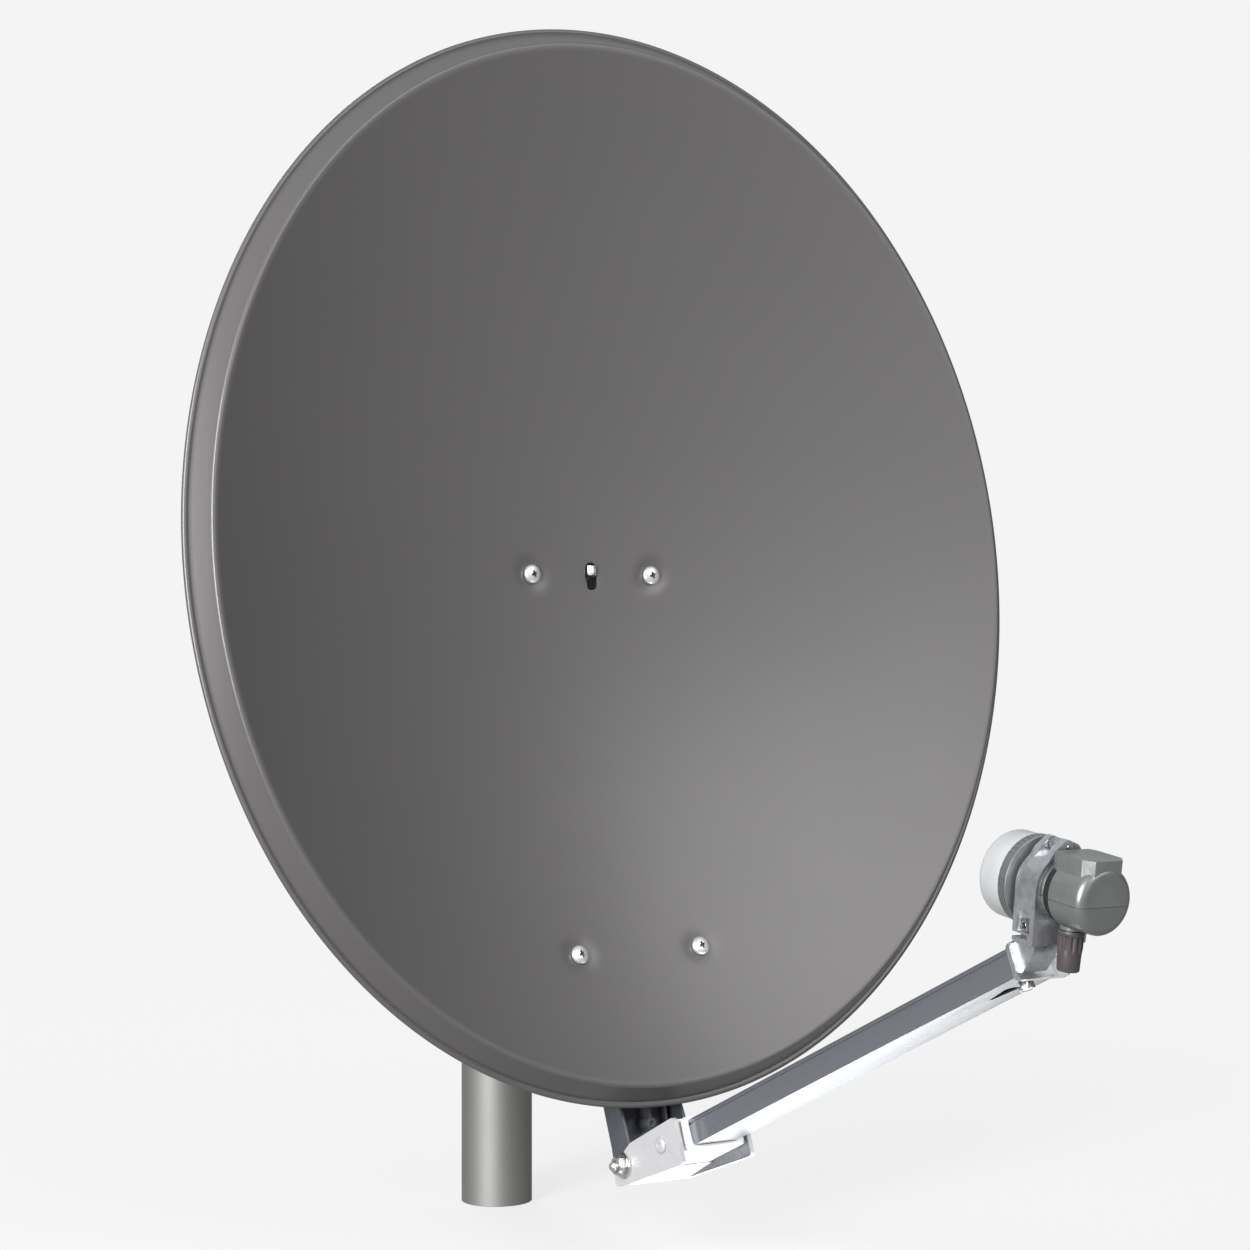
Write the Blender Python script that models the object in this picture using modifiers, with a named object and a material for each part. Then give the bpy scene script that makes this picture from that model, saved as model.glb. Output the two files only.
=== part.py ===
"""An offset satellite dish of the 80 cm class on a mast stub: reflector, rear frame, mast clamp,
folding feed arm, hinged holder and feedhorn converter. Metres, +Z up, the dish faces -Y.
The origin is the centre of the mast's foot."""

import math

import bmesh
import bpy
from mathutils import Matrix, Vector

# Mast
MAST_R = 0.030
MAST_WALL = 0.0025
MAST_TOP = 0.600

# Reflector: an offset paraboloid cut by a cylinder of radius APERTURE about its own axis
RIM_CENTRE = Vector((0.0, -0.2066, 0.5430))
DISH_TILT = math.radians(6.87)
OFFSET_ANGLE = math.radians(28.3)
APERTURE = 0.362
FOCAL = 0.390
SHEET = 0.0015
RIM_OUT = 0.018
RIM_BACK = 0.018
BEAD_R = 0.0031
RIM_STEPS = 60
FACE_RINGS = 6

# Points on the reflector where the rear frame is screwed on: half width, then heights in the rim plane
SCREW_X = 0.0565
SCREW_V_TOP = 0.0330
SCREW_V_LOW = -0.2890
SCREW_R = 0.0030
SLOT_V = 0.0330

# Mast clamp and elevation bolts, in the plane X = 0
PIVOT_YZ = (-0.110, 0.400)
LOCK_RADIUS = 0.060
LOCK_SWING = math.radians(20.0)
SLOT_SWING = math.radians(24.6)
SADDLE_X = 0.0455
SADDLE_T = 0.0025
SADDLE_Y = -0.050
BOLT_R = 0.004
NUT_AF = 0.013
NUT_T = 0.0065
UBOLT_Z = (0.385, 0.490)
UBOLT_R = 0.0346

# Rear frame
FRAME_X = 0.0425
FRAME_T = 0.0025
WEB_TOP = (-0.0700, 0.0300)
WEB_LOW = (-0.0450, -0.3650)

# Feed arm: it folds about ARM_PIVOT, and at rest climbs at ARM_RISE
ARM_PIVOT = Vector((0.0, -0.2535, 0.0740))
ARM_RISE = math.radians(24.2)
TUBE_HALF = (0.020, 0.010)
TUBE_V = 0.0026
TUBE_WALL = 0.0015
TUBE_START = 0.030
TUBE_END = 0.484
HOLDER_BOLT_U = 0.4680
TONGUE_START = 0.4595
CHEEK_X = 0.0295
CHEEK_T = 0.0035
COLLAR = (0.026, 0.0805)
RIVET_AT = (0.0561, 0.0005)
FOOT_X = 0.029
FOOT_T = 0.0025

# Holder and converter: their common axis rises at FEED_RISE toward the reflector
FEED_CENTRE = Vector((0.0, -0.7109, 0.3238))
FEED_RISE = math.radians(8.0)
NECK_R = 0.0200
BORE_R = 0.0203
HOLDER_R = 0.0235
HOLDER_HALF = 0.010
BLOCK_LOW = -0.0363
SPLIT = (0.0015, 0.0042)
PIN_Y = 0.0268
KNUCKLE_R = 0.0048
KNUCKLE_Z = 0.0040
SCREW_Y = -0.0245
PARTING = -0.003
BOOT_Z = 0.0205
BOSS_R = 0.0078
BOSS_LOW = -0.0236

GAP = 0.0003

for old in list(bpy.data.objects):
    bpy.data.objects.remove(old, do_unlink=True)

parts = bpy.data.collections.new("satellite_dish")
cutters = bpy.data.collections.new("cutters")
bpy.context.scene.collection.children.link(parts)
bpy.context.scene.collection.children.link(cutters)
cutters.hide_render = True


def finish_material(name, colour, roughness, metallic):
    made = bpy.data.materials.new(name)
    made.use_nodes = True
    shader = made.node_tree.nodes["Principled BSDF"]
    shader.inputs["Base Color"].default_value = (*colour, 1.0)
    shader.inputs["Roughness"].default_value = roughness
    shader.inputs["Metallic"].default_value = metallic
    return made


PAINT = ((0.095, 0.092, 0.088), 0.38, 0.0)
ZINC = ((0.62, 0.63, 0.64), 0.30, 1.0)
GALVANISED = ((0.42, 0.43, 0.44), 0.45, 1.0)
ALUMINIUM = ((0.50, 0.52, 0.56), 0.35, 1.0)
CASTING = ((0.45, 0.47, 0.50), 0.42, 1.0)
LIGHT_CASTING = ((0.66, 0.66, 0.67), 0.50, 0.0)
DARK_CASTING = ((0.14, 0.15, 0.165), 0.55, 0.0)
WHITE_PLASTIC = ((0.85, 0.85, 0.84), 0.45, 0.0)
BLACK_PLASTIC = ((0.02, 0.02, 0.02), 0.5, 0.0)
SILVER_PLASTIC = ((0.35, 0.36, 0.35), 0.38, 0.3)
GREY_PLASTIC = ((0.46, 0.47, 0.48), 0.42, 0.0)
BROWN_PLASTIC = ((0.075, 0.065, 0.065), 0.5, 0.0)
BRASS = ((0.75, 0.60, 0.32), 0.30, 1.0)
BOARD_GREEN = ((0.03, 0.16, 0.08), 0.5, 0.0)


def axes(origin, x_axis, y_axis, z_axis):
    made = Matrix.Identity(4)
    for column, axis in enumerate((x_axis, y_axis, z_axis)):
        made.col[column][:3] = axis
    made.col[3][:3] = origin
    return made


X = Vector((1.0, 0.0, 0.0))
DISH_UP = Vector((0.0, math.sin(DISH_TILT), math.cos(DISH_TILT)))
DISH_OUT = Vector((0.0, -math.cos(DISH_TILT), math.sin(DISH_TILT)))
DISH = axes(RIM_CENTRE, X, DISH_UP, DISH_OUT)
ARM_ALONG = Vector((0.0, -math.cos(ARM_RISE), math.sin(ARM_RISE)))
ARM_UP = Vector((0.0, math.sin(ARM_RISE), math.cos(ARM_RISE)))
ARM = axes(ARM_PIVOT, X, ARM_UP, ARM_ALONG)
FEED_BACK = Vector((0.0, -math.cos(FEED_RISE), -math.sin(FEED_RISE)))
FEED_UP = Vector((0.0, -math.sin(FEED_RISE), math.cos(FEED_RISE)))
FEED = axes(FEED_CENTRE, X, FEED_UP, FEED_BACK)
SIDE = axes((0.0, 0.0, 0.0), (0.0, 1.0, 0.0), (0.0, 0.0, 1.0), X)
PLAN = Matrix.Identity(4)
# Side views of the arm and the dish: local x runs forward, local y up and local z to the side
ARM_SIDE = axes(ARM_PIVOT, ARM_ALONG, ARM_UP, -X)
DISH_SIDE = axes(RIM_CENTRE, DISH_OUT, DISH_UP, -X)
ACROSS = axes((0.0, 0.0, 0.0), (0.0, 1.0, 0.0), (0.0, 0.0, 1.0), X)


def place(mesh_object, name, look, matrix, helper=False):
    """Names an object, gives it its material and its collection, and bakes its place into its mesh."""
    mesh_object.name = name
    mesh_object.data.name = name
    mesh_object.data.transform(matrix)
    if helper:
        cutters.objects.link(mesh_object)
        mesh_object.hide_render = True
        mesh_object.display_type = "WIRE"
        return mesh_object
    mesh_object.data.materials.append(finish_material(name, *look))
    parts.objects.link(mesh_object)
    mesh_object.data.shade_smooth()
    mesh_object.data.set_sharp_from_angle(angle=math.radians(35.0))
    return mesh_object


def face_out(bm):
    bmesh.ops.recalc_face_normals(bm, faces=bm.faces)
    if bm.calc_volume(signed=True) < 0:
        bmesh.ops.reverse_faces(bm, faces=bm.faces)


def from_bmesh(bm, name, look, matrix, helper=False):
    mesh = bpy.data.meshes.new(name)
    face_out(bm)
    bm.to_mesh(mesh)
    bm.free()
    return place(bpy.data.objects.new(name, mesh), name, look, matrix, helper)


def box(name, low, high, look, matrix=PLAN, helper=False):
    bm = bmesh.new()
    bmesh.ops.create_cube(bm, size=1.0)
    low = Vector(low)
    high = Vector(high)
    for vert in bm.verts:
        vert.co = (low + high) / 2 + Vector(a * b for a, b in zip(vert.co, high - low))
    return from_bmesh(bm, name, look, matrix, helper)


def rod(name, radius, z_low, z_high, look, matrix=PLAN, helper=False, sides=16):
    bm = bmesh.new()
    middle = Matrix.Translation((0.0, 0.0, (z_low + z_high) / 2))
    bmesh.ops.create_cone(bm, cap_ends=True, segments=sides, radius1=radius, radius2=radius,
                          depth=z_high - z_low, matrix=middle)
    return from_bmesh(bm, name, look, matrix, helper)


def settle(made):
    """Replaces an object's modifiers by the mesh that they give."""
    graph = bpy.context.evaluated_depsgraph_get()
    mesh = bpy.data.meshes.new_from_object(made.evaluated_get(graph))
    bm = bmesh.new()
    bm.from_mesh(mesh)
    bmesh.ops.remove_doubles(bm, verts=bm.verts, dist=1e-6)
    face_out(bm)
    bm.to_mesh(mesh)
    bm.free()
    made.modifiers.clear()
    old = made.data
    made.data = mesh
    bpy.data.meshes.remove(old)
    return made


def turned(name, profile, look, matrix=PLAN, steps=32, closed=True, helper=False):
    """Turns (radius, height) points about the local Z axis. An open profile starts and ends on the axis."""
    mesh = bpy.data.meshes.new(name)
    count = len(profile)
    edges = [(i, (i + 1) % count) for i in range(count if closed else count - 1)]
    mesh.from_pydata([(r, 0.0, z) for r, z in profile], edges, [])
    spun = bpy.data.objects.new(name, mesh)
    bpy.context.scene.collection.objects.link(spun)
    screw = spun.modifiers.new("turn", "SCREW")
    screw.steps = steps
    screw.render_steps = steps
    screw.use_merge_vertices = True
    screw.merge_threshold = 1e-5
    bpy.context.view_layer.update()
    settle(spun)
    bpy.context.scene.collection.objects.unlink(spun)
    return place(spun, name, look, matrix, helper)


def plate(name, outlines, z_low, z_high, look, matrix=PLAN, helper=False):
    """A flat plate between two local heights: the first outline is its edge, the others are holes."""
    curve = bpy.data.curves.new(name, "CURVE")
    curve.dimensions = "2D"
    curve.fill_mode = "BOTH"
    curve.extrude = (z_high - z_low) / 2
    for outline in outlines:
        spline = curve.splines.new("POLY")
        spline.points.add(len(outline) - 1)
        for point, (x, y) in zip(spline.points, outline):
            point.co = (x, y, 0.0, 1.0)
        spline.use_cyclic_u = True
    drawn = bpy.data.objects.new(name, curve)
    bpy.context.scene.collection.objects.link(drawn)
    bpy.context.view_layer.update()
    graph = bpy.context.evaluated_depsgraph_get()
    mesh = bpy.data.meshes.new_from_object(drawn.evaluated_get(graph))
    bm = bmesh.new()
    bm.from_mesh(mesh)
    bmesh.ops.remove_doubles(bm, verts=bm.verts, dist=1e-6)
    bmesh.ops.translate(bm, verts=bm.verts, vec=(0.0, 0.0, (z_low + z_high) / 2))
    bpy.data.meshes.remove(mesh)
    bpy.data.objects.remove(drawn, do_unlink=True)
    bpy.data.curves.remove(curve)
    return from_bmesh(bm, name, look, matrix, helper)


def join(first, others, operation="UNION"):
    """Adds solids to one solid, or cuts them from it, and removes them."""
    for other in others:
        change = first.modifiers.new(operation.lower(), "BOOLEAN")
        change.operation = operation
        change.solver = "EXACT"
        change.object = other
        bpy.context.view_layer.update()
        settle(first)
        bpy.data.objects.remove(other, do_unlink=True)
    first.data.shade_smooth()
    first.data.set_sharp_from_angle(angle=math.radians(35.0))
    return first


def cut(first, others):
    return join(first, others, "DIFFERENCE")


def arc(centre, radius, start, end, steps):
    """Points on a circle between two angles in degrees."""
    turns = [math.radians(start + (end - start) * i / steps) for i in range(steps + 1)]
    return [(centre[0] + radius * math.cos(a), centre[1] + radius * math.sin(a)) for a in turns]


def circle(centre, radius, sides=16):
    return arc(centre, radius, 0.0, 360.0, sides)[:-1]


def rounded(corners, radius, steps=3):
    """An outline with its corners rounded by arcs of one radius."""
    points = []
    count = len(corners)
    for i in range(count):
        here = Vector(corners[i])
        back = (Vector(corners[i - 1]) - here).normalized()
        ahead = (Vector(corners[(i + 1) % count]) - here).normalized()
        half = back.angle(ahead) / 2
        reach = radius / math.tan(half)
        middle = here + (back + ahead).normalized() * (radius / math.sin(half))
        first = here + back * reach - middle
        last = here + ahead * reach - middle
        for k in range(steps + 1):
            points.append(tuple(middle + first.lerp(last, k / steps).normalized() * radius))
    return points


def ring_loft(name, rings, look, matrix=PLAN, closed=False):
    """Skins a row of rings with the same number of points: capped at both ends, or joined end to end."""
    bm = bmesh.new()
    rows = [[bm.verts.new(point) for point in ring] for ring in rings]
    size = len(rings[0])
    spans = list(zip(rows, rows[1:] + rows[:1])) if closed else list(zip(rows, rows[1:]))
    for low, high in spans:
        for i in range(size):
            j = (i + 1) % size
            bm.faces.new((low[i], low[j], high[j], high[i]))
    if not closed:
        bm.faces.new(rows[0])
        bm.faces.new(rows[-1])
    return from_bmesh(bm, name, look, matrix)


def hexagon(across, z):
    """Twelve points round a hexagon: its corners and the middles of its flats."""
    corner = across / math.sqrt(3.0)
    radii = (corner, across / 2)
    turns = [math.radians(30.0 * i) for i in range(12)]
    return [(radii[i % 2] * math.cos(a), radii[i % 2] * math.sin(a), z) for i, a in enumerate(turns)]


def round12(radius, z):
    turns = [math.radians(30.0 * i) for i in range(12)]
    return [(radius * math.cos(a), radius * math.sin(a), z) for a in turns]


def hex_bolt(name, radius, length, across, head, matrix, look=ZINC):
    """A bolt with its head's underside at local z = 0, its head above and its shank below."""
    rings = (round12(radius, -length), round12(radius, 0.0), hexagon(across, 0.0), hexagon(across, head))
    return ring_loft(name, rings, look, matrix)


def hex_nut(name, bore, across, thick, matrix, look=ZINC):
    rings = (round12(bore, 0.0), hexagon(across, 0.0), hexagon(across, thick), round12(bore, thick))
    return ring_loft(name, rings, look, matrix, closed=True)


def washer(name, bore, radius, thick, matrix, look=ZINC):
    profile = [(radius, thick), (radius, 0.0), (bore, 0.0), (bore, thick)]
    return turned(name, profile, look, matrix, steps=24)


def toward(origin, direction):
    """A frame whose local Z points along a direction."""
    z_axis = Vector(direction).normalized()
    x_axis = Vector((0.0, 1.0, 0.0)) if abs(z_axis.x) > 0.9 else X
    y_axis = z_axis.cross(x_axis).normalized()
    return axes(origin, y_axis.cross(z_axis), y_axis, z_axis)


# Geometry of the offset paraboloid, in the dish frame (across, up, out)
def dish_surface(x, v):
    """The point of the reflecting face below the rim-plane point (x, v), and its normal."""
    eta = v * math.cos(OFFSET_ANGLE)
    depth = (APERTURE**2 - x**2 - eta**2) / (4 * FOCAL)
    point = Vector((x, v - depth * math.sin(OFFSET_ANGLE), RIM_BACK - depth * math.cos(OFFSET_ANGLE)))
    fall = x / (2 * FOCAL)
    across = Vector((1.0, fall * math.sin(OFFSET_ANGLE), fall * math.cos(OFFSET_ANGLE)))
    slope = eta * math.cos(OFFSET_ANGLE) / (2 * FOCAL)
    up = Vector((0.0, 1.0 + slope * math.sin(OFFSET_ANGLE), slope * math.cos(OFFSET_ANGLE)))
    return point, across.cross(up).normalized()


def dish_world(x, up, out):
    return DISH @ Vector((x, up, out))


def dish_yz(out, up):
    point = dish_world(0.0, up, out)
    return (point.y, point.z)


def rim_profile():
    """(outward, backward) steps from the aperture edge over the crease and flange to the rolled bead."""
    crease = [(0.0022, 0.0006), (0.0038, 0.0026)]
    flange = [(0.0085, 0.0100), (0.0112, 0.0146)]
    middle = (RIM_OUT - BEAD_R, RIM_BACK)
    turns = [math.radians(a) for a in (-125.0, -80.0, -35.0, 10.0, 55.0, 100.0)]
    bead = [(middle[0] + BEAD_R * math.cos(a), middle[1] + BEAD_R * math.sin(a)) for a in turns]
    return crease + flange + bead


def make_reflector():
    bm = bmesh.new()
    half_high = APERTURE / math.cos(OFFSET_ANGLE)
    turns = [2 * math.pi * i / RIM_STEPS for i in range(RIM_STEPS)]
    rows = []
    for ring in range(1, FACE_RINGS + 1):
        share = ring / FACE_RINGS
        rows.append([bm.verts.new(dish_surface(APERTURE * share * math.cos(a),
                                               half_high * share * math.sin(a))[0]) for a in turns])
    for outward, backward in rim_profile():
        row = []
        for a in turns:
            normal = Vector((half_high * math.cos(a), APERTURE * math.sin(a))).normalized()
            row.append(bm.verts.new((APERTURE * math.cos(a) + outward * normal.x,
                                     half_high * math.sin(a) + outward * normal.y,
                                     RIM_BACK - backward)))
        rows.append(row)
    centre = bm.verts.new(dish_surface(0.0, 0.0)[0])
    for i in range(RIM_STEPS):
        j = (i + 1) % RIM_STEPS
        bm.faces.new((centre, rows[0][i], rows[0][j]))
        for low, high in zip(rows, rows[1:]):
            bm.faces.new((low[i], high[i], high[j], low[j]))
    mesh = bpy.data.meshes.new("reflector")
    bm.to_mesh(mesh)
    bm.free()
    shell = bpy.data.objects.new("reflector", mesh)
    bpy.context.scene.collection.objects.link(shell)
    thicken = shell.modifiers.new("sheet", "SOLIDIFY")
    thicken.thickness = SHEET
    thicken.offset = -1.0
    thicken.use_even_offset = True
    bpy.context.view_layer.update()
    settle(shell)
    bpy.context.scene.collection.objects.unlink(shell)
    place(shell, "reflector", PAINT, DISH)
    holes = []
    for number, (x, v) in enumerate(screw_points()):
        point, normal = dish_surface(x, v)
        at = toward(DISH @ point, DISH.to_3x3() @ normal)
        holes.append(rod(f"screw_hole_{number}", SCREW_R + 0.0004, -0.010, 0.010, None, at, True, 12))
    slot = rounded([(-0.0056, -0.0112), (0.0056, -0.0112), (0.0056, 0.0112), (-0.0056, 0.0112)], 0.0052)
    point, normal = dish_surface(0.0, SLOT_V)
    holes.append(plate("hook_slot", [slot], -0.010, 0.010, None,
                       DISH @ Matrix.Translation(point), True))
    return cut(shell, holes)


def screw_points():
    return [(side * SCREW_X, v) for v in (SCREW_V_TOP, SCREW_V_LOW) for side in (-1, 1)]


def make_mast():
    inner = MAST_R - MAST_WALL
    profile = [(MAST_R, MAST_TOP), (MAST_R, 0.0), (inner, 0.0), (inner, MAST_TOP)]
    turned("mast_tube", profile, GALVANISED, steps=40)
    plug = inner - 0.0004
    top = MAST_TOP + GAP
    profile = [(0.0, top + 0.004), (MAST_R - 0.002, top + 0.004), (MAST_R + 0.0004, top + 0.002),
               (MAST_R + 0.0004, top), (plug, top), (plug, top - 0.015), (0.0, top - 0.015)]
    turned("mast_cap", profile, BLACK_PLASTIC, steps=32, closed=False)
    profile = [(0.0, 0.012), (plug, 0.012), (plug, 0.0), (0.0, 0.0)]
    turned("mast_foot_plug", profile, BLACK_PLASTIC, steps=32, closed=False)


def lock_yz(turn=0.0, radius=LOCK_RADIUS):
    """A point of the lock bolt's arc: the turn is measured from straight above the elevation bolt."""
    return (PIVOT_YZ[0] + radius * math.sin(turn), PIVOT_YZ[1] + radius * math.cos(turn))


def make_saddle():
    """The clamp's front half: a plate with two cheeks for the elevation bolts and two blocks that seat
    on the mast."""
    wide = SADDLE_X + SADDLE_T
    low = 0.360
    high = 0.515
    back = SADDLE_Y + 0.005
    saddle = box("mast_saddle", (-wide, SADDLE_Y, low), (wide, back, high), GALVANISED)
    pivot = PIVOT_YZ
    lock = lock_yz()
    cheek = arc(pivot, 0.015, 180.0, 270.0, 4) + [(SADDLE_Y + 0.002, low + 0.010),
                                                  (SADDLE_Y + 0.002, high - 0.010)]
    cheek += arc(lock, 0.014, 90.0, 180.0, 4)
    sides = []
    for side in (-1, 1):
        inner = side * SADDLE_X
        outer = side * wide
        sides.append(plate(f"cheek_{side}", [cheek, circle(pivot, BOLT_R + 0.0004, 12),
                                             circle(lock, BOLT_R + 0.0004, 12)],
                           min(inner, outer), max(inner, outer), None, SIDE, True))
    for number, z in enumerate(UBOLT_Z):
        sides.append(box(f"block_{number}", (-0.024, back - 0.001, z - 0.013), (0.024, -0.017, z + 0.013),
                         None, PLAN, True))
    join(saddle, sides)
    cuts = [rod("mast_room", MAST_R + 0.0005, low - 0.01, high + 0.01, None, PLAN, True, 48)]
    for number, z in enumerate(UBOLT_Z):
        for side in (-1, 1):
            at = toward((side * UBOLT_R, 0.0, z), (0.0, -1.0, 0.0))
            cuts.append(rod(f"leg_hole_{number}_{side}", BOLT_R + 0.0004, 0.02, 0.08, None, at, True, 12))
    return cut(saddle, cuts)


def make_u_bolt(name, z):
    """A round bar bent round the back of the mast, with two straight legs through the saddle."""
    curve = bpy.data.curves.new(name, "CURVE")
    curve.dimensions = "3D"
    curve.bevel_depth = BOLT_R
    curve.bevel_resolution = 2
    curve.use_fill_caps = True
    bend = arc((0.0, 0.0), UBOLT_R, 0.0, 180.0, 12)
    route = [(UBOLT_R, -0.066)] + bend + [(-UBOLT_R, -0.066)]
    spline = curve.splines.new("POLY")
    spline.points.add(len(route) - 1)
    for point, (x, y) in zip(spline.points, route):
        point.co = (x, y, z, 1.0)
    drawn = bpy.data.objects.new(name, curve)
    bpy.context.scene.collection.objects.link(drawn)
    bpy.context.view_layer.update()
    graph = bpy.context.evaluated_depsgraph_get()
    mesh = bpy.data.meshes.new_from_object(drawn.evaluated_get(graph))
    bpy.data.objects.remove(drawn, do_unlink=True)
    bpy.data.curves.remove(curve)
    bm = bmesh.new()
    bm.from_mesh(mesh)
    bmesh.ops.remove_doubles(bm, verts=bm.verts, dist=1e-6)
    bpy.data.meshes.remove(mesh)
    from_bmesh(bm, name, ZINC, PLAN)
    for side, word in ((-1, "left"), (1, "right")):
        at = toward((side * UBOLT_R, SADDLE_Y - GAP, z), (0.0, -1.0, 0.0))
        hex_nut(f"{name}_nut_{word}", BOLT_R + 0.0002, NUT_AF, NUT_T, at)


def make_elevation_bolts():
    wide = SADDLE_X + SADDLE_T
    for name, (y, z) in (("elevation_pivot", PIVOT_YZ), ("elevation_lock", lock_yz())):
        at = toward((-wide - GAP, y, z), (-1.0, 0.0, 0.0))
        hex_bolt(f"{name}_bolt", BOLT_R, 2 * wide + 0.011, NUT_AF, 0.0053, at)
        at = toward((wide + GAP, y, z), (1.0, 0.0, 0.0))
        hex_nut(f"{name}_nut", BOLT_R + 0.0002, NUT_AF, NUT_T, at)


def make_rear_frame():
    """A pressed channel behind the reflector: web, two flanges with arc slots, four screw bosses."""
    top = Vector(dish_yz(*WEB_TOP))
    low = Vector(dish_yz(*WEB_LOW))
    along = (top - low).normalized()
    out = Vector((-along.y, along.x))
    web = axes((0.0, low.x, low.y), X, (0.0, along.x, along.y), (0.0, out.x, out.y))
    inverse = web.inverted()
    length = (top - low).length
    spine = FRAME_X + FRAME_T
    ears = [inverse @ (DISH @ dish_surface(x, v)[0]) for x, v in screw_points()]
    ear_top = ears[0].y
    ear_low = ears[2].y
    reach = 0.068
    half = 0.013
    right = [(spine, 0.0)]
    for ear in (ear_low, ear_top):
        right += [(spine, ear - half - 0.012), (reach, ear - half), (reach, ear + half)]
        right += [(spine, ear + half + 0.012)] if ear == ear_low else [(spine, length)]
    outline = rounded(right + [(-x, y) for x, y in reversed(right)], 0.004, 2)
    frame = plate("rear_frame", [outline], -FRAME_T, 0.0, GALVANISED, web)
    pivot = PIVOT_YZ
    edge = low + along * 0.02 - out * 0.001
    flange = [tuple(edge), tuple(low + along * 0.04 - out * 0.016)]
    flange += [(pivot[0] + 0.004, pivot[1] - 0.020), (pivot[0] + 0.015, pivot[1] - 0.006)]
    swing = LOCK_SWING + math.radians(11.0)
    outer = LOCK_RADIUS + 0.0115
    flange += [lock_yz(swing, LOCK_RADIUS - 0.014)]
    flange += [lock_yz(swing - 2 * swing * i / 8, outer) for i in range(9)]
    flange += [tuple(low + along * (length - 0.045) - out * 0.012), tuple(top - along * 0.006 - out * 0.001)]
    inner = LOCK_RADIUS - BOLT_R - 0.0004
    turns = [SLOT_SWING * (1 - 2 * i / 8) for i in range(9)]
    slot = [lock_yz(a, inner) for a in turns] + [lock_yz(a, inner + 2 * BOLT_R + 0.0008)
                                                 for a in reversed(turns)]
    joined = []
    for side in (-1, 1):
        limits = sorted((side * FRAME_X, side * spine))
        joined.append(plate(f"flange_{side}", [flange, circle(pivot, BOLT_R + 0.0004, 12), slot],
                            *limits, None, SIDE, True))
    bores = []
    for number, (x, v) in enumerate(screw_points()):
        point, normal = dish_surface(x, v)
        at = toward(DISH @ point, DISH.to_3x3() @ normal)
        local = inverse @ (DISH @ point)
        depth = local.z / abs((inverse.to_3x3() @ (DISH.to_3x3() @ normal)).z)
        joined.append(rod(f"boss_{number}", 0.0075, -depth - 0.0012, -SHEET - GAP, None, at, True, 16))
        bores.append(rod(f"bore_{number}", SCREW_R + 0.0004, -depth - 0.03, 0.01, None, at, True, 12))
        long = depth + 0.013
        pan_screw(f"reflector_screw_{number + 1}", at, long)
        tail = -depth - FRAME_T - 0.0045
        hex_nut(f"reflector_nut_{number + 1}", SCREW_R + 0.0002, 0.010, 0.0045,
                at @ Matrix.Translation((0.0, 0.0, tail - 0.0020)))
    join(frame, joined)
    for x in (-0.014, 0.014):
        spot = web @ Vector((x, 0.020, 0.0))
        at = toward(spot, web.to_3x3() @ Vector((0.0, 0.0, 1.0)))
        bores.append(rod(f"foot_bore_{x}", 0.0034, -0.02, 0.02, None, at, True, 12))
    cut(frame, bores)
    return web


def pan_screw(name, at, length):
    """A pan-head screw: its head's underside sits just above the local plane z = 0."""
    seat = 0.0010
    head = [(0.0, 0.0046), (0.0030, 0.0044), (0.0056, 0.0034), (0.0068, 0.0020), (0.0068, seat)]
    shank = [(SCREW_R, seat), (SCREW_R, -length), (0.0, -length)]
    return turned(name, head + shank, ZINC, at, steps=16, closed=False)


def make_hook(web):
    """A tongue on the web that shows in the slot of the reflector."""
    point, _ = dish_surface(0.0, SLOT_V)
    local = web.inverted() @ (DISH @ point)
    outline = [(0.0, local.z + 0.0005), (0.0012, local.z + 0.0026), (0.0086, local.z + 0.0026),
               (0.0086, local.z + 0.0010), (0.0030, local.z - 0.0010), (0.0025, GAP), (-0.012, GAP),
               (-0.012, 0.0022), (0.0, 0.0022)]
    at = web @ Matrix.Translation((0.0, local.y, 0.0)) @ ACROSS
    plate("hook_tab", [outline], -0.0044, 0.0044, ZINC, at)


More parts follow.
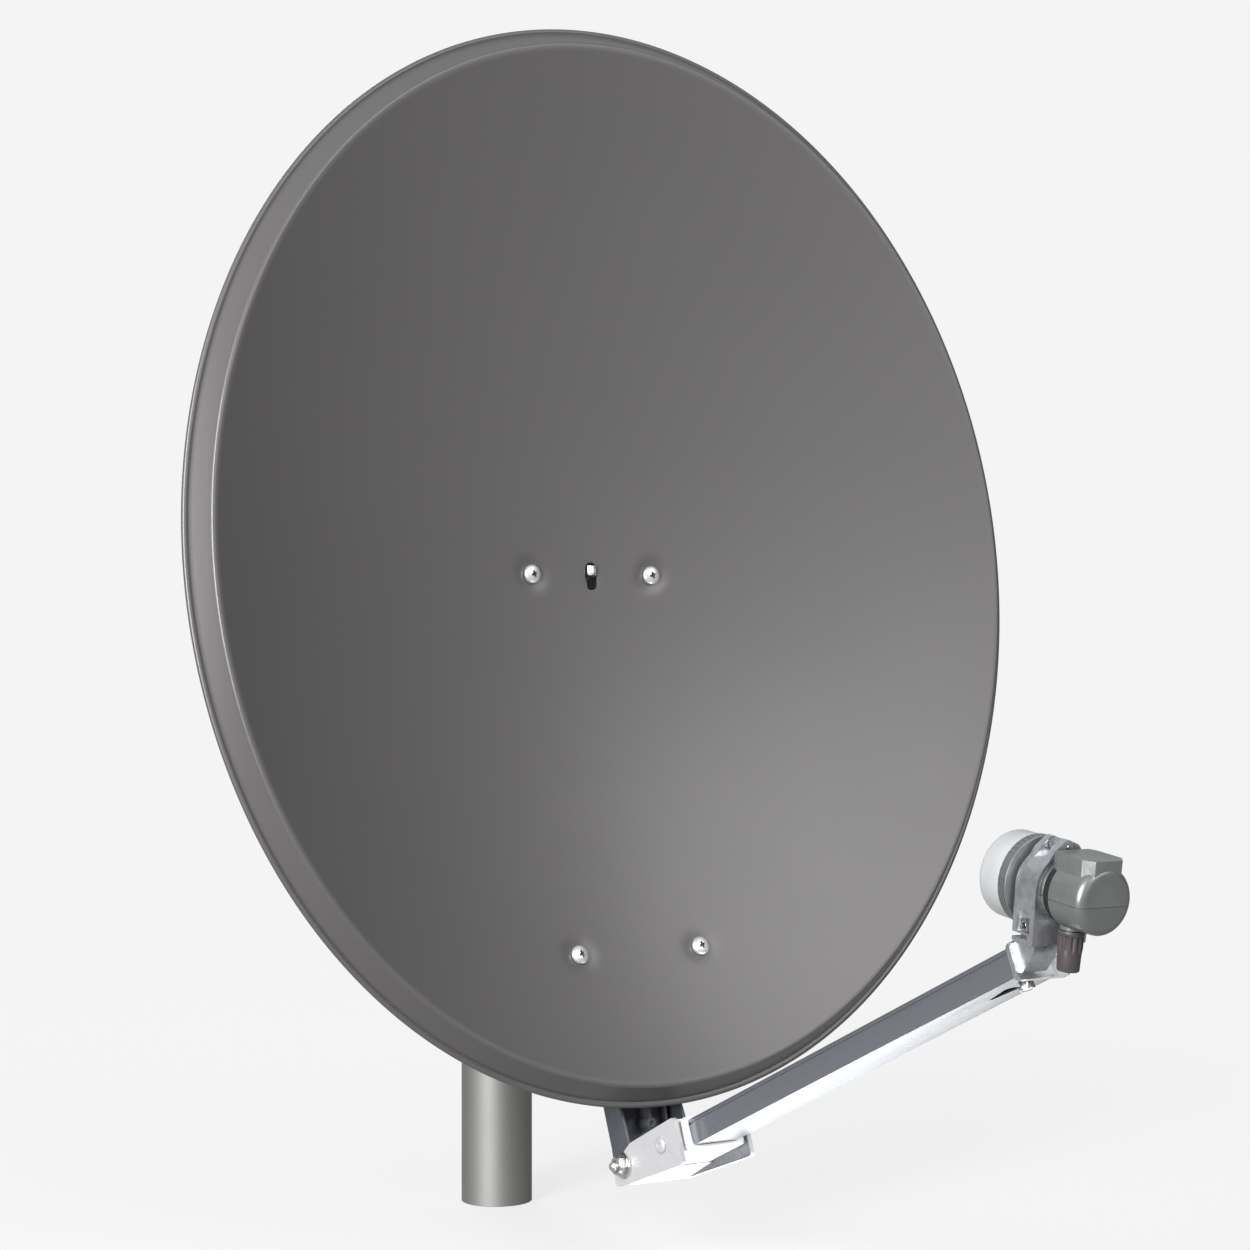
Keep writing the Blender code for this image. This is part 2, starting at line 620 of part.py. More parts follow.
def make_foot(web):
    """The open channel casting that carries the arm's pivot below the reflector."""
    walls = [(-0.0472, -0.3250), (-0.0447, -0.3650), (-0.0420, -0.4270), (-0.0330, -0.4600),
             (-0.0295, -0.4830)]
    pivot = DISH_SIDE.inverted() @ ARM_PIVOT
    nose = arc((pivot.x, pivot.y), 0.0098, -115.0, 25.0, 6)
    front = [(-0.0088, -0.4550), (-0.0174, -0.4300), (-0.0280, -0.3600), (-0.0355, -0.3250)]
    outline = walls + nose + front
    foot = plate("foot_bracket", [outline], -FOOT_X, FOOT_X, DARK_CASTING, DISH_SIDE)
    hollow = [(-0.0449, -0.3150), (-0.0417, -0.3650), (-0.0390, -0.4262), (-0.0300, -0.4593),
              (-0.0262, -0.4950),
              (0.0300, -0.4950), (0.0300, -0.3150)]
    room = plate("channel", [hollow], -FOOT_X + FOOT_T, FOOT_X - FOOT_T, None, DISH_SIDE, True)
    cut(foot, [room])
    rib = [(-0.0395, -0.3400), (-0.0395, -0.4255), (-0.0325, -0.4500), (-0.0210, -0.4480),
           (-0.0200, -0.4300), (-0.0300, -0.3600)]
    spine = plate("rib", [rib], -0.0011, 0.0011, None, DISH_SIDE, True)
    boss_at = DISH @ axes((0.0, -0.4425, 0.0), X, (0, 1, 0), (0, 0, 1))
    boss = rod("boss", 0.0042, -0.0340, -0.0185, None, boss_at, True, 12)
    join(foot, [spine, boss])
    along = toward(ARM_PIVOT, X)
    cuts = [rod("pivot_bore", BOLT_R + 0.0004, -0.05, 0.05, None, along, True, 16)]
    for number, x in enumerate((-0.014, 0.014)):
        spot = web @ Vector((x, 0.020, 0.0))
        at = toward(spot, web.to_3x3() @ Vector((0.0, 0.0, 1.0)))
        cuts.append(rod(f"foot_hole_{number}", 0.0034, -0.02, 0.02, None, at, True, 12))
        hex_bolt(f"foot_bolt_{number + 1}", 0.0030, 0.014, 0.010, 0.004,
                 at @ Matrix.Translation((0.0, 0.0, 0.0070)))
    cut(foot, cuts)


def make_fork():
    """The U-shaped fork: two tapering cheeks, joined by a short web under the pivot."""
    corners = [(-0.0192, -0.0129), (0.0795, -0.0205), (0.0808, 0.0156), (0.0139, 0.0135), (-0.0135, 0.0040)]
    cheek = rounded(corners, 0.0038)
    wide = CHEEK_X + CHEEK_T
    fork = plate("arm_fork", [cheek], -wide, wide, LIGHT_CASTING, ARM_SIDE)
    behind = [(-0.03, -0.03), (-0.0125, -0.03), (-0.0125, 0.03), (-0.03, 0.03)]
    above = [(-0.03, -0.0105), (-0.0125, -0.0117), (0.0255, -0.0090), (0.09, -0.0090), (0.09, 0.03),
             (-0.03, 0.03)]
    below = [(-0.0125, -0.0134), (0.0255, -0.0110), (0.0255, -0.0080), (0.09, -0.0080), (0.09, -0.03),
             (-0.0125, -0.03)]
    cuts = [plate(f"fork_{word}", [room], -CHEEK_X, CHEEK_X, None, ARM_SIDE, True)
            for word, room in (("behind", behind), ("above", above), ("below", below))]
    across = toward(ARM_PIVOT, X)
    cuts.append(rod("fork_bore", BOLT_R + 0.0004, -0.05, 0.05, None, across, True, 16))
    cuts.append(rod("rivet_bore", 0.0034, -0.05, 0.05, None, rivet_frame(), True, 12))
    return cut(fork, cuts)


def rivet_frame():
    spot = ARM @ Vector((0.0, RIVET_AT[1], RIVET_AT[0]))
    return toward(spot, X)


def tube_outline(grow=0.0, radius=0.003):
    half_x = TUBE_HALF[0] + grow
    half_y = TUBE_HALF[1] + grow
    corners = [(-half_x, TUBE_V - half_y), (half_x, TUBE_V - half_y),
               (half_x, TUBE_V + half_y), (-half_x, TUBE_V + half_y)]
    return rounded(corners, radius, 3)


def holder_bolt_frame():
    return toward(ARM @ Vector((0.0, TUBE_V - TUBE_HALF[1], HOLDER_BOLT_U)), -ARM_UP)


def make_arm():
    tube = plate("arm_tube", [tube_outline(), tube_outline(-TUBE_WALL, 0.0018)], TUBE_START, TUBE_END,
                 ALUMINIUM, ARM)
    under = axes(ARM_PIVOT, X, ARM_ALONG, -ARM_UP)
    slot = arc((0.0, 0.4520), 0.0054, 0.0, 180.0, 6) + [(-0.0012, 0.4300), (0.0012, 0.4300)]
    below = holder_bolt_frame()
    cuts = [plate("cable_slot", [slot], 0.0, 0.02, None, under, True),
            rod("holder_bore", 0.0034, -0.006, 0.006, None, below, True, 12),
            rod("tube_rivet_bore", 0.0034, -0.03, 0.03, None, rivet_frame(), True, 12)]
    cut(tube, cuts)
    wide = CHEEK_X - GAP
    edge = rounded([(-wide, -0.0100), (wide, -0.0100), (wide, 0.0145), (-wide, 0.0145)], 0.002, 2)
    collar = plate("arm_collar", [edge, tube_outline(GAP)], COLLAR[0], COLLAR[1], WHITE_PLASTIC, ARM)
    cut(collar, [rod("collar_bore", 0.0034, -0.04, 0.04, None, rivet_frame(), True, 12)])
    reach = CHEEK_X + CHEEK_T + GAP
    rivet = [(0.0, reach + 0.0022), (0.0040, reach + 0.0020), (0.0066, reach + 0.0008), (0.0066, reach),
             (0.0030, reach), (0.0030, -reach), (0.0066, -reach), (0.0066, -reach - 0.0008),
             (0.0040, -reach - 0.0020), (0.0, -reach - 0.0022)]
    turned("fork_rivet", rivet, ZINC, rivet_frame(), steps=16, closed=False)
    hex_bolt("holder_bolt", 0.0030, 0.010, 0.010, 0.0050, below @ Matrix.Translation((0.0, 0.0, GAP)))
    right = toward(ARM_PIVOT + X * reach, X)
    hex_bolt("fold_pivot_bolt", BOLT_R, 2 * reach + 0.0125, NUT_AF, 0.0053, right)
    left = toward(ARM_PIVOT - X * reach, -X)
    washer("fold_pivot_washer", BOLT_R + 0.0002, 0.0100, 0.0015, left)
    hex_nut("fold_pivot_nut", BOLT_R + 0.0002, NUT_AF, NUT_T, left @ Matrix.Translation((0, 0, 0.0018)))


def arch(side, inner, outer):
    """Half of the holder seen along the feed axis: a ring with a straight-sided block below it."""
    split = SPLIT[0] if side < 0 else SPLIT[1]
    start = math.degrees(math.asin(split / inner))
    if side < 0:
        ring = arc((0.0, 0.0), outer, 90.0, 180.0, 10)
        block = [(-outer + 0.001, BLOCK_LOW + 0.004), (-outer + 0.001, BLOCK_LOW), (split, BLOCK_LOW)]
        bore = arc((0.0, 0.0), inner, -90.0 + start, -270.0, 18)
        return ring + block + bore
    ring = arc((0.0, 0.0), outer, 66.0, 0.0, 8)
    block = [(outer - 0.001, BLOCK_LOW + 0.004), (outer - 0.001, BLOCK_LOW), (split, BLOCK_LOW)]
    bore = arc((0.0, 0.0), inner, -90.0 + start, 66.0, 16)
    return ring + block + bore


def make_holder():
    holder = plate("feed_holder", [arch(-1, BORE_R, HOLDER_R)], -HOLDER_HALF, HOLDER_HALF, CASTING, FEED)
    pin = (0.0, PIN_Y)
    knuckle = arc(pin, KNUCKLE_R, -60.0, 140.0, 10)
    knuckle += [(-0.0100, 0.0250), (-0.0165, 0.0160), (-0.0146, 0.0150), (-0.0080, 0.0200), (-0.0010, 0.0214)]
    added = []
    for side in (-1, 1):
        limits = sorted((side * (KNUCKLE_Z + GAP), side * HOLDER_HALF))
        added.append(plate(f"knuckle_{side}", [knuckle], *limits, None, FEED, True))
    neck = [(0.4865, -0.0065), (0.4925, -0.0045), (0.5000, -0.0010), (0.5070, 0.0040), (0.5105, 0.0100),
            (0.5000, 0.0180), (0.4865, 0.0130)]
    added.append(plate("neck", [neck], -SPLIT[0], 0.0185, None, ARM_SIDE, True))
    flange = rounded([(-0.0230, -0.0110), (0.0230, -0.0110), (0.0230, 0.0152), (-0.0230, 0.0152)], 0.005)
    added.append(plate("flange", [flange], TUBE_END + GAP, TUBE_END + 0.0042, None, ARM, True))
    half_x = TUBE_HALF[0] - TUBE_WALL - 0.0010
    half_y = TUBE_HALF[1] - TUBE_WALL - 0.0006
    added.append(box("tongue", (-half_x, TUBE_V - half_y, TONGUE_START),
                     (half_x, TUBE_V + half_y, TUBE_END + 0.001), None, ARM, True))
    join(holder, added)
    cuts = [plate("tongue_room", [circle(pin, KNUCKLE_R + 0.0006, 20)], -KNUCKLE_Z - GAP, KNUCKLE_Z + GAP,
                  None, FEED, True),
            rod("pin_bore", 0.0017, -0.02, 0.02, None, FEED @ Matrix.Translation((0, PIN_Y, 0)), True, 12)]
    across = FEED @ Matrix.Translation((0.0, SCREW_Y, 0.0)) @ ACROSS
    rooms = {
        "screw_slot": ((-0.0184, SCREW_Y - 0.0060, -0.0027), (0.0100, SCREW_Y + 0.0026, 0.0027)),
        "side_recess": ((-0.030, SCREW_Y - 0.0045, -0.0062), (-0.0213, SCREW_Y + 0.0092, 0.0062)),
        "lip_slot": ((-0.030, BLOCK_LOW + 0.0028, -0.0120), (-0.0150, BLOCK_LOW + 0.0060, 0.0045)),
        "nut_recess": ((-0.030, SCREW_Y - 0.0044, -0.0044), (-0.0182, SCREW_Y + 0.0044, 0.0044)),
    }
    cuts += [box(word, low, high, None, FEED, True) for word, (low, high) in rooms.items()]
    cuts.append(rod("thread_bore", 0.0032, -0.0125, 0.001, None, holder_bolt_frame(), True, 12))
    cut(holder, cuts)
    turned("hinge_pin", [(0.0, 0.0106), (0.0014, 0.0104), (0.0014, -0.0104), (0.0, -0.0106)], ZINC,
           FEED @ Matrix.Translation((0.0, PIN_Y, 0.0)), steps=12, closed=False)
    square = [(-0.0036, -0.0036), (0.0036, -0.0036), (0.0036, 0.0036), (-0.0036, 0.0036)]
    plate("clamp_nut", [square, circle((0, 0), 0.0020, 12)], -0.0218, -0.0186, ZINC, across)


def make_jaw():
    jaw = plate("holder_jaw", [arch(1, BORE_R, HOLDER_R)], -HOLDER_HALF, HOLDER_HALF, CASTING, FEED)
    pin = (0.0, PIN_Y)
    clear = circle(pin, KNUCKLE_R + 0.0008, 20)
    cuts = []
    for side in (-1, 1):
        limits = sorted((side * (KNUCKLE_Z - GAP), side * 0.02))
        cuts.append(plate(f"clear_{side}", [clear], *limits, None, FEED, True))
    shoulder = [(0.0035, 0.0215), (0.0086, 0.0195), (0.0165, 0.0150), (0.0175, 0.0152), (0.0140, 0.0225),
                (0.0092, 0.0283), (0.0052, 0.0300)]
    step = HOLDER_HALF - 0.0004
    join(jaw, [plate("shoulder", [shoulder], -step, step, None, FEED, True)])
    cut(jaw, cuts)
    tongue = arc(pin, KNUCKLE_R - GAP, 0.0, 270.0, 12)
    tongue += [(0.0060, 0.0199), (0.0100, 0.0190), (0.0112, 0.0205)]
    join(jaw, [plate("tongue_lug", [tongue], -KNUCKLE_Z + GAP, KNUCKLE_Z - GAP, None, FEED, True)])
    across = FEED @ Matrix.Translation((0.0, SCREW_Y, 0.0)) @ ACROSS
    bores = [rod("lug_bore", 0.0017, -0.02, 0.02, None, FEED @ Matrix.Translation((0, PIN_Y, 0)), True, 12),
             rod("jaw_screw_bore", 0.0024, -0.01, 0.04, None, across, True, 12),
             rod("neck_room", BORE_R, -0.02, 0.02, None, FEED, True, 64)]
    cut(jaw, bores)
    at = across @ Matrix.Translation((0.0, 0.0, HOLDER_R))
    hex_bolt("clamp_screw", 0.0020, HOLDER_R + 0.0168, 0.0070, 0.0035, at)


def make_converter():
    """The feedhorn converter held in the holder, its cap toward the reflector (negative local z)."""
    outer = [(0.0, 0.0500), (0.0160, 0.0500), (0.0205, 0.0480), (0.0225, 0.0440), (0.0225, 0.0200),
             (0.0186, 0.0200), (0.0186, 0.0130), (NECK_R, 0.0130), (NECK_R, -0.0120),
             (0.0170, -0.0120), (0.0170, 0.0200), (0.0208, 0.0220), (0.0208, 0.0440), (0.0180, 0.0480),
             (0.0, 0.0480)]
    raised_half = [(0.0140, 0.0135), (0.0165, 0.0190), (0.0165, 0.0420), (0.0110, 0.0490)]
    plate_top = rounded(raised_half + [(-x, y) for x, y in reversed(raised_half)], 0.001, 2)
    top = axes(FEED_CENTRE, -X, FEED_BACK, FEED_UP)
    for name, sign in (("converter_shell_upper", 1), ("converter_shell_lower", -1)):
        shell = turned(name, outer, SILVER_PLASTIC, FEED, steps=36, closed=False)
        if sign > 0:
            raised = plate("raised", [plate_top], 0.0150, 0.0262, None, top, True)
            join(shell, [raised])
            band = [(0.0212, 0.0202), (0.0212, 0.0100), (0.0189, 0.0100), (0.0189, 0.0198)]
            cut(shell, [rod("hollow", 0.0206, 0.0221, 0.0440, None, FEED, True, 40),
                        rod("bore", 0.0168, -0.0200, 0.0224, None, FEED, True, 40),
                        turned("band_room", band, None, FEED, 40, True, True)])
        half = 0.06
        low = (-half, -half, -0.1) if sign > 0 else (-half, PARTING - GAP / 2, -0.1)
        high = (half, PARTING + GAP / 2, 0.1) if sign > 0 else (half, half, 0.1)
        cut(shell, [box("half_space", low, high, None, FEED, True)])
        if sign < 0:
            hole = toward(FEED @ Vector((0.0, 0.0, BOOT_Z)), -FEED_UP)
            join(shell, [rod("boss", BOSS_R, 0.0176, -BOSS_LOW, None, hole, True, 20)])
    band = turned("band_seal", [(0.0206, 0.0196), (0.0206, 0.0134), (0.0189, 0.0134), (0.0189, 0.0196)],
                  BLACK_PLASTIC, FEED, 40)
    cut(band, [rod("boss_room", BOSS_R + GAP, 0.0, 0.03, None, hole, True, 20)])
    flange = [(0.0300, -0.0126), (0.0300, -0.0203), (0.0172, -0.0203), (0.0172, -0.0126)]
    turned("scale_flange", flange, SILVER_PLASTIC, FEED, 40)
    cap = [(0.0, -0.0432), (0.0010, -0.0430), (0.0235, -0.0420), (0.0272, -0.0402), (0.0288, -0.0365),
           (0.0292, -0.0210), (0.0278, -0.0210), (0.0274, -0.0365), (0.0262, -0.0390), (0.0230, -0.0405),
           (0.0, -0.0415)]
    turned("feed_cap", list(reversed(cap)), GREY_PLASTIC, FEED, 36, closed=False)
    seal = [(0.0276, -0.0207), (0.0276, -0.0230), (0.0262, -0.0230), (0.0262, -0.0207)]
    turned("cap_seal", seal, BLACK_PLASTIC, FEED, 32)
    guide = [(0.0, 0.0420), (0.0155, 0.0420), (0.0155, -0.0240), (0.0250, -0.0360), (0.0238, -0.0366),
             (0.0140, -0.0245), (0.0140, 0.0400), (0.0, 0.0400)]
    turned("waveguide_horn", guide, CASTING, FEED, 24, closed=False)
    box("circuit_board", (-0.0068, 0.0170, 0.0240), (0.0068, 0.0184, 0.0420), BOARD_GREEN, FEED)


def make_connector():
    spot = FEED @ Vector((0.0, BOSS_LOW - GAP, BOOT_Z))
    down = toward(spot, -FEED_UP)
    rings = [hexagon(0.0090, 0.0), hexagon(0.0090, 0.0040), round12(0.0047, 0.0040), round12(0.0047, 0.0150),
             round12(0.0030, 0.0150), round12(0.0030, 0.0090)]
    ring_loft("f_connector", rings, BRASS, down)
    boot = [(0.0087, 0.0002), (0.0087, 0.0025), (0.0082, 0.0040), (0.0082, 0.0130), (0.0078, 0.0136),
            (0.0074, 0.0262), (0.0068, 0.0268), (0.0056, 0.0268), (0.0056, 0.0002)]
    turned("weather_boot", boot, BROWN_PLASTIC, down, 24)


make_mast()
make_saddle()
make_u_bolt("u_bolt_lower", UBOLT_Z[0])
make_u_bolt("u_bolt_upper", UBOLT_Z[1])
make_elevation_bolts()
make_reflector()
web_frame = make_rear_frame()
make_hook(web_frame)
make_foot(web_frame)
make_fork()
make_arm()
make_holder()
make_jaw()
make_converter()
make_connector()

# Each joint: a point on its axis, the joint that carries it, and how its pieces' names start
JOINTS = {
    "azimuth": (Vector((0.0, 0.0, 0.4375)), None, ("mast_saddle", "u_bolt", "elevation_")),
    "elevation": (Vector((0.0, *PIVOT_YZ)), "azimuth", ("reflector", "rear_frame", "hook_tab", "foot_")),
    "arm_fold": (ARM_PIVOT, "elevation", ("arm_", "fold_", "fork_", "feed_holder", "holder_bolt",
                                          "hinge_pin", "clamp_nut")),
    "jaw_open": (FEED @ Vector((0.0, PIN_Y, 0.0)), "arm_fold", ("holder_jaw", "clamp_screw")),
    "converter_skew": (FEED_CENTRE, "arm_fold", ("converter_", "band_seal", "scale_flange", "feed_cap",
                                                 "cap_seal", "waveguide", "circuit", "f_connector")),
    "boot_pull": (FEED @ Vector((0.0, BOSS_LOW, BOOT_Z)), "converter_skew", ("weather_boot",)),
}

pieces = list(parts.objects)
pivots = {}
for joint, (point, carrier, starts) in JOINTS.items():
    pivot = bpy.data.objects.new(joint + "_axis", None)
    pivot.empty_display_size = 0.05
    pivot.location = point
    parts.objects.link(pivot)
    if carrier:
        pivot.parent = pivots[carrier]
        pivot.matrix_parent_inverse = Matrix.Translation(-JOINTS[carrier][0])
    pivots[joint] = pivot
    for piece in pieces:
        if piece.name.startswith(starts):
            piece.parent = pivot
            piece.matrix_parent_inverse = Matrix.Translation(-point)
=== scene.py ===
import math

import bmesh
import bpy
from mathutils import Matrix, Vector


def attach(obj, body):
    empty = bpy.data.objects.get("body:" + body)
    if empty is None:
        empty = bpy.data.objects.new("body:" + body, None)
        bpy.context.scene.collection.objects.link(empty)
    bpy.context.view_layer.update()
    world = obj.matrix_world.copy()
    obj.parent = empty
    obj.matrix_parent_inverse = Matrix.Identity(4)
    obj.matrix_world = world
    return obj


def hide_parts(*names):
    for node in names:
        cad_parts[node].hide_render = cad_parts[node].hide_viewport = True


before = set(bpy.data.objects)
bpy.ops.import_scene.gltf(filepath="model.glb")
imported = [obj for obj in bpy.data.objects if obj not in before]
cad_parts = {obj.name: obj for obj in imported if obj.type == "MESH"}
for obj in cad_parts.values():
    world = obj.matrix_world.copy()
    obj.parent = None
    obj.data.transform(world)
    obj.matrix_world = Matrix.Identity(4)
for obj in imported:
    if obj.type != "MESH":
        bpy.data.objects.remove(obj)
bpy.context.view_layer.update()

# The frame's own dimensions, in metres
MAST_R = 0.030
MAST_WALL = 0.0025
MAST_TOP = 0.600
RIM_CENTRE = Vector((0.0, -0.2066, 0.5430))
DISH_TILT = math.radians(6.87)
OFFSET_ANGLE = math.radians(28.3)
APERTURE = 0.362
FOCAL = 0.390
SHEET = 0.0015
RIM_OUT = 0.018
RIM_BACK = 0.018
BEAD_R = 0.0031
SCREW_X = 0.0565
SCREW_V_TOP = 0.0330
SCREW_V_LOW = -0.2890
SCREW_R = 0.0030
SLOT_V = 0.0330
PIVOT_YZ = (-0.110, 0.400)
LOCK_RADIUS = 0.060
LOCK_SWING = math.radians(20.0)
SLOT_SWING = math.radians(24.6)
SADDLE_X = 0.0455
SADDLE_T = 0.0025
SADDLE_Y = -0.050
BOLT_R = 0.004
PLAY = 0.0004
THREAD_PLAY = 0.0002
SMALL_BOLT_R = 0.0030
SMALL_BORE = 0.0034
NUT_AF = 0.013
NUT_T = 0.0065
UBOLT_Z = (0.385, 0.490)
UBOLT_R = 0.0346
FRAME_X = 0.0425
FRAME_T = 0.0025
WEB_TOP = (-0.0700, 0.0300)
WEB_LOW = (-0.0450, -0.3650)
ARM_PIVOT = Vector((0.0, -0.2535, 0.0740))
ARM_RISE = math.radians(24.2)
TUBE_HALF = (0.020, 0.010)
TUBE_V = 0.0026
TUBE_WALL = 0.0015
TUBE_START = 0.030
TUBE_END = 0.484
HOLDER_BOLT_U = 0.4680
TONGUE_START = 0.4595
CHEEK_X = 0.0295
CHEEK_T = 0.0035
COLLAR = (0.026, 0.0805)
RIVET_AT = (0.0561, 0.0005)
FOOT_X = 0.029
FOOT_T = 0.0025
FOOT_BOLT_X = 0.014
FOOT_BOLT_UP = 0.020
FEED_CENTRE = Vector((0.0, -0.7109, 0.3238))
FEED_RISE = math.radians(8.0)
NECK_R = 0.0200
BORE_R = 0.0203
HOLDER_R = 0.0235
HOLDER_HALF = 0.010
BLOCK_LOW = -0.0363
SPLIT = (0.0015, 0.0042)
PIN_Y = 0.0268
PIN_BORE = 0.0017
KNUCKLE_R = 0.0048
KNUCKLE_Z = 0.0040
SCREW_Y = -0.0245
PARTING = -0.003
BOOT_Z = 0.0205
BOSS_R = 0.0078
BOSS_LOW = -0.0236
GAP = 0.0003

# How fine the visible shapes are
FINE_BEAD = 0.0023
FACE_RINGS = 100
RIM_STEPS = 336
FINE = 128
WELD = 1e-6


# Materials

def fill(node, inputs):
    """Fills a shader node's inputs: another node's output is linked, anything else is the value itself."""
    for name, value in inputs.items():
        if isinstance(value, bpy.types.NodeSocket):
            node.id_data.links.new(value, node.inputs[name])
        else:
            node.inputs[name].default_value = value
    return node


def add_node(tree, kind, output, inputs=(), **settings):
    """Adds a shader node and returns one of its outputs."""
    node = tree.nodes.new("ShaderNode" + kind)
    for name, value in settings.items():
        setattr(node, name, value)
    return fill(node, dict(inputs)).outputs[output]


def surface(name, colour, roughness, metallic=0.0, vary=0.06, patch=14.0, grain=0.05, grain_size=0.0011,
            smudge=0.06, stretch=(1.0, 1.0, 1.0), edge_wear_and_highlight_colour=None, edge_wear_and_highlight=0.0, specular=0.5, coat=0.0,
            pits=0.0, pit_size=0.004):
    """A surface with drifting colour, uneven gloss, a fine grain, optional pits and pale edges, which are
    partly wear and partly a painted highlight.
    """
    made = bpy.data.materials.new(name)
    made.use_nodes = True
    tree = made.node_tree
    mapped = add_node(tree, "Mapping", "Vector",
                      {"Scale": stretch, "Vector": add_node(tree, "TexCoord", "Object")})

    def noise(scale, detail, rough=0.55):
        return add_node(tree, "TexNoise", "Fac",
                        {"Scale": scale, "Detail": detail, "Roughness": rough, "Vector": mapped})

    def spread(source, low, high):
        """A noise's middle values, stretched between low and high."""
        return add_node(tree, "MapRange", "Result",
                        {"Value": source, "From Min": 0.3, "From Max": 0.7, "To Min": low, "To Max": high})

    tint = add_node(tree, "ValToRGB", "Color", {"Fac": noise(patch, 4.0)})
    stops = zip(tint.node.color_ramp.elements, (0.3, 0.7), (1.0 - vary, 1.0 + vary))
    for stop, position, shade in stops:
        stop.position = position
        stop.color = (*[min(c * shade, 1.0) for c in colour], 1.0)
    # Pale edges where the mesh is pointy: partly wear, partly a painted highlight along the edges.
    if edge_wear_and_highlight > 0.0:
        edge = add_node(tree, "MapRange", "Result", {"Value": add_node(tree, "NewGeometry", "Pointiness"),
                                                     "From Min": 0.545, "From Max": 0.62, "To Max": edge_wear_and_highlight})
        edge_wear_and_highlight_mask = add_node(tree, "Math", "Value", {0: edge, 1: spread(noise(240.0, 3.0), 0.35, 1.0)},
                          operation="MULTIPLY")
        pale_edge_colour = edge_wear_and_highlight_colour or [min(c * 1.8, 1.0) for c in colour]
        tint = add_node(tree, "Mix", "Result", {"Factor": edge_wear_and_highlight_mask, "A": tint, "B": (*pale_edge_colour, 1.0)},
                        data_type="RGBA")
    relief = {"Strength": grain, "Distance": 0.0004, "Height": noise(1.0 / grain_size, 2.0)}
    if pits > 0.0:
        dents = {"Strength": pits, "Distance": 0.0008, "Height": noise(1.0 / pit_size, 3.0, 0.65)}
        relief["Normal"] = add_node(tree, "Bump", "Normal", dents)
    gloss = spread(noise(patch * 3.1, 5.0), roughness - smudge, roughness + smudge)
    fill(tree.nodes["Principled BSDF"], {
        "Base Color": tint, "Roughness": gloss, "Metallic": metallic, "Specular IOR Level": specular,
        "Coat Weight": coat, "Coat Roughness": 0.25, "Normal": add_node(tree, "Bump", "Normal", relief)})
    return made


DISH_PAINT = surface("dish_paint", (0.1165, 0.1115, 0.1115), 0.43, 0.35, vary=0.03, patch=3.0, grain=0.10,
                     grain_size=0.0009, smudge=0.012, specular=0.45, coat=0.35)
ZINC = surface("zinc", (0.66, 0.66, 0.64), 0.27, 1.0, vary=0.10, patch=120.0, grain=0.06, grain_size=0.0006)
SCREW_ZINC = surface("screw_zinc", (0.80, 0.795, 0.775), 0.38, 0.75, vary=0.05, patch=150.0, grain=0.05,
                     grain_size=0.0006)
BRIGHT_ZINC = surface("bright_zinc", (0.80, 0.79, 0.76), 0.22, 1.0, vary=0.08, patch=150.0, grain=0.05,
                      grain_size=0.0006)
GALVANISED = surface("galvanised", (0.40, 0.41, 0.42), 0.42, 0.85, vary=0.16, patch=55.0, grain=0.10,
                     grain_size=0.0014, pits=0.10, pit_size=0.010, edge_wear_and_highlight=0.3)
MAST_METAL = surface("mast_metal", (0.33, 0.33, 0.32), 0.60, 0.9, vary=0.025, patch=9.0, grain=0.05,
                     grain_size=0.0010, smudge=0.015)
ANODISED = surface("anodised", (0.27, 0.285, 0.315), 0.30, 0.76, vary=0.03, patch=30.0, grain=0.10,
                   grain_size=0.0005, stretch=(1.0, 0.12, 0.12), smudge=0.05)
RAW_CASTING = surface("raw_casting", (0.45, 0.475, 0.51), 0.32, 0.9, vary=0.10, patch=90.0, grain=0.22,
                      grain_size=0.0010, pits=0.28, pit_size=0.0042, edge_wear_and_highlight=0.7, edge_wear_and_highlight_colour=(0.80, 0.81, 0.82))
PALE_CASTING = surface("pale_casting", (0.50, 0.50, 0.515), 0.42, 0.20, vary=0.010, patch=60.0, grain=0.06,
                       grain_size=0.0009, pits=0.05, edge_wear_and_highlight=0.15, edge_wear_and_highlight_colour=(0.8, 0.8, 0.8))
# The foot casting's own dark colour. The same surface is also painted as shade on the fork cheeks' inner
# faces and in the screws' cross recesses.
DARK_CASTING_AND_SHADE = surface("dark_casting_and_shade", (0.105, 0.113, 0.130), 0.42, 0.45, vary=0.10, patch=70.0, grain=0.20,
                       grain_size=0.0010, pits=0.22, edge_wear_and_highlight=0.30, edge_wear_and_highlight_colour=(0.42, 0.43, 0.45))
WHITE_PLASTIC = surface("white_plastic", (0.82, 0.82, 0.81), 0.38, vary=0.02, patch=60.0, grain=0.05,
                        edge_wear_and_highlight=0.3)
BLACK_PLASTIC = surface("black_plastic", (0.012, 0.012, 0.013), 0.45, vary=0.2, patch=60.0, grain=0.10)
SILVER_PLASTIC = surface("silver_plastic", (0.215, 0.228, 0.225), 0.34, 0.60, vary=0.010, patch=70.0,
                         grain=0.05, grain_size=0.0005, edge_wear_and_highlight=0.12, edge_wear_and_highlight_colour=(0.45, 0.47, 0.45))
PALE_PLASTIC = surface("pale_plastic", (0.43, 0.44, 0.45), 0.38, 0.1, vary=0.04, patch=70.0, grain=0.14,
                       grain_size=0.0006, edge_wear_and_highlight=0.4, edge_wear_and_highlight_colour=(0.75, 0.76, 0.78))
BROWN_RUBBER = surface("brown_rubber", (0.062, 0.052, 0.055), 0.42, vary=0.12, patch=90.0, grain=0.16,
                       grain_size=0.0007, edge_wear_and_highlight=0.4, edge_wear_and_highlight_colour=(0.16, 0.14, 0.15))
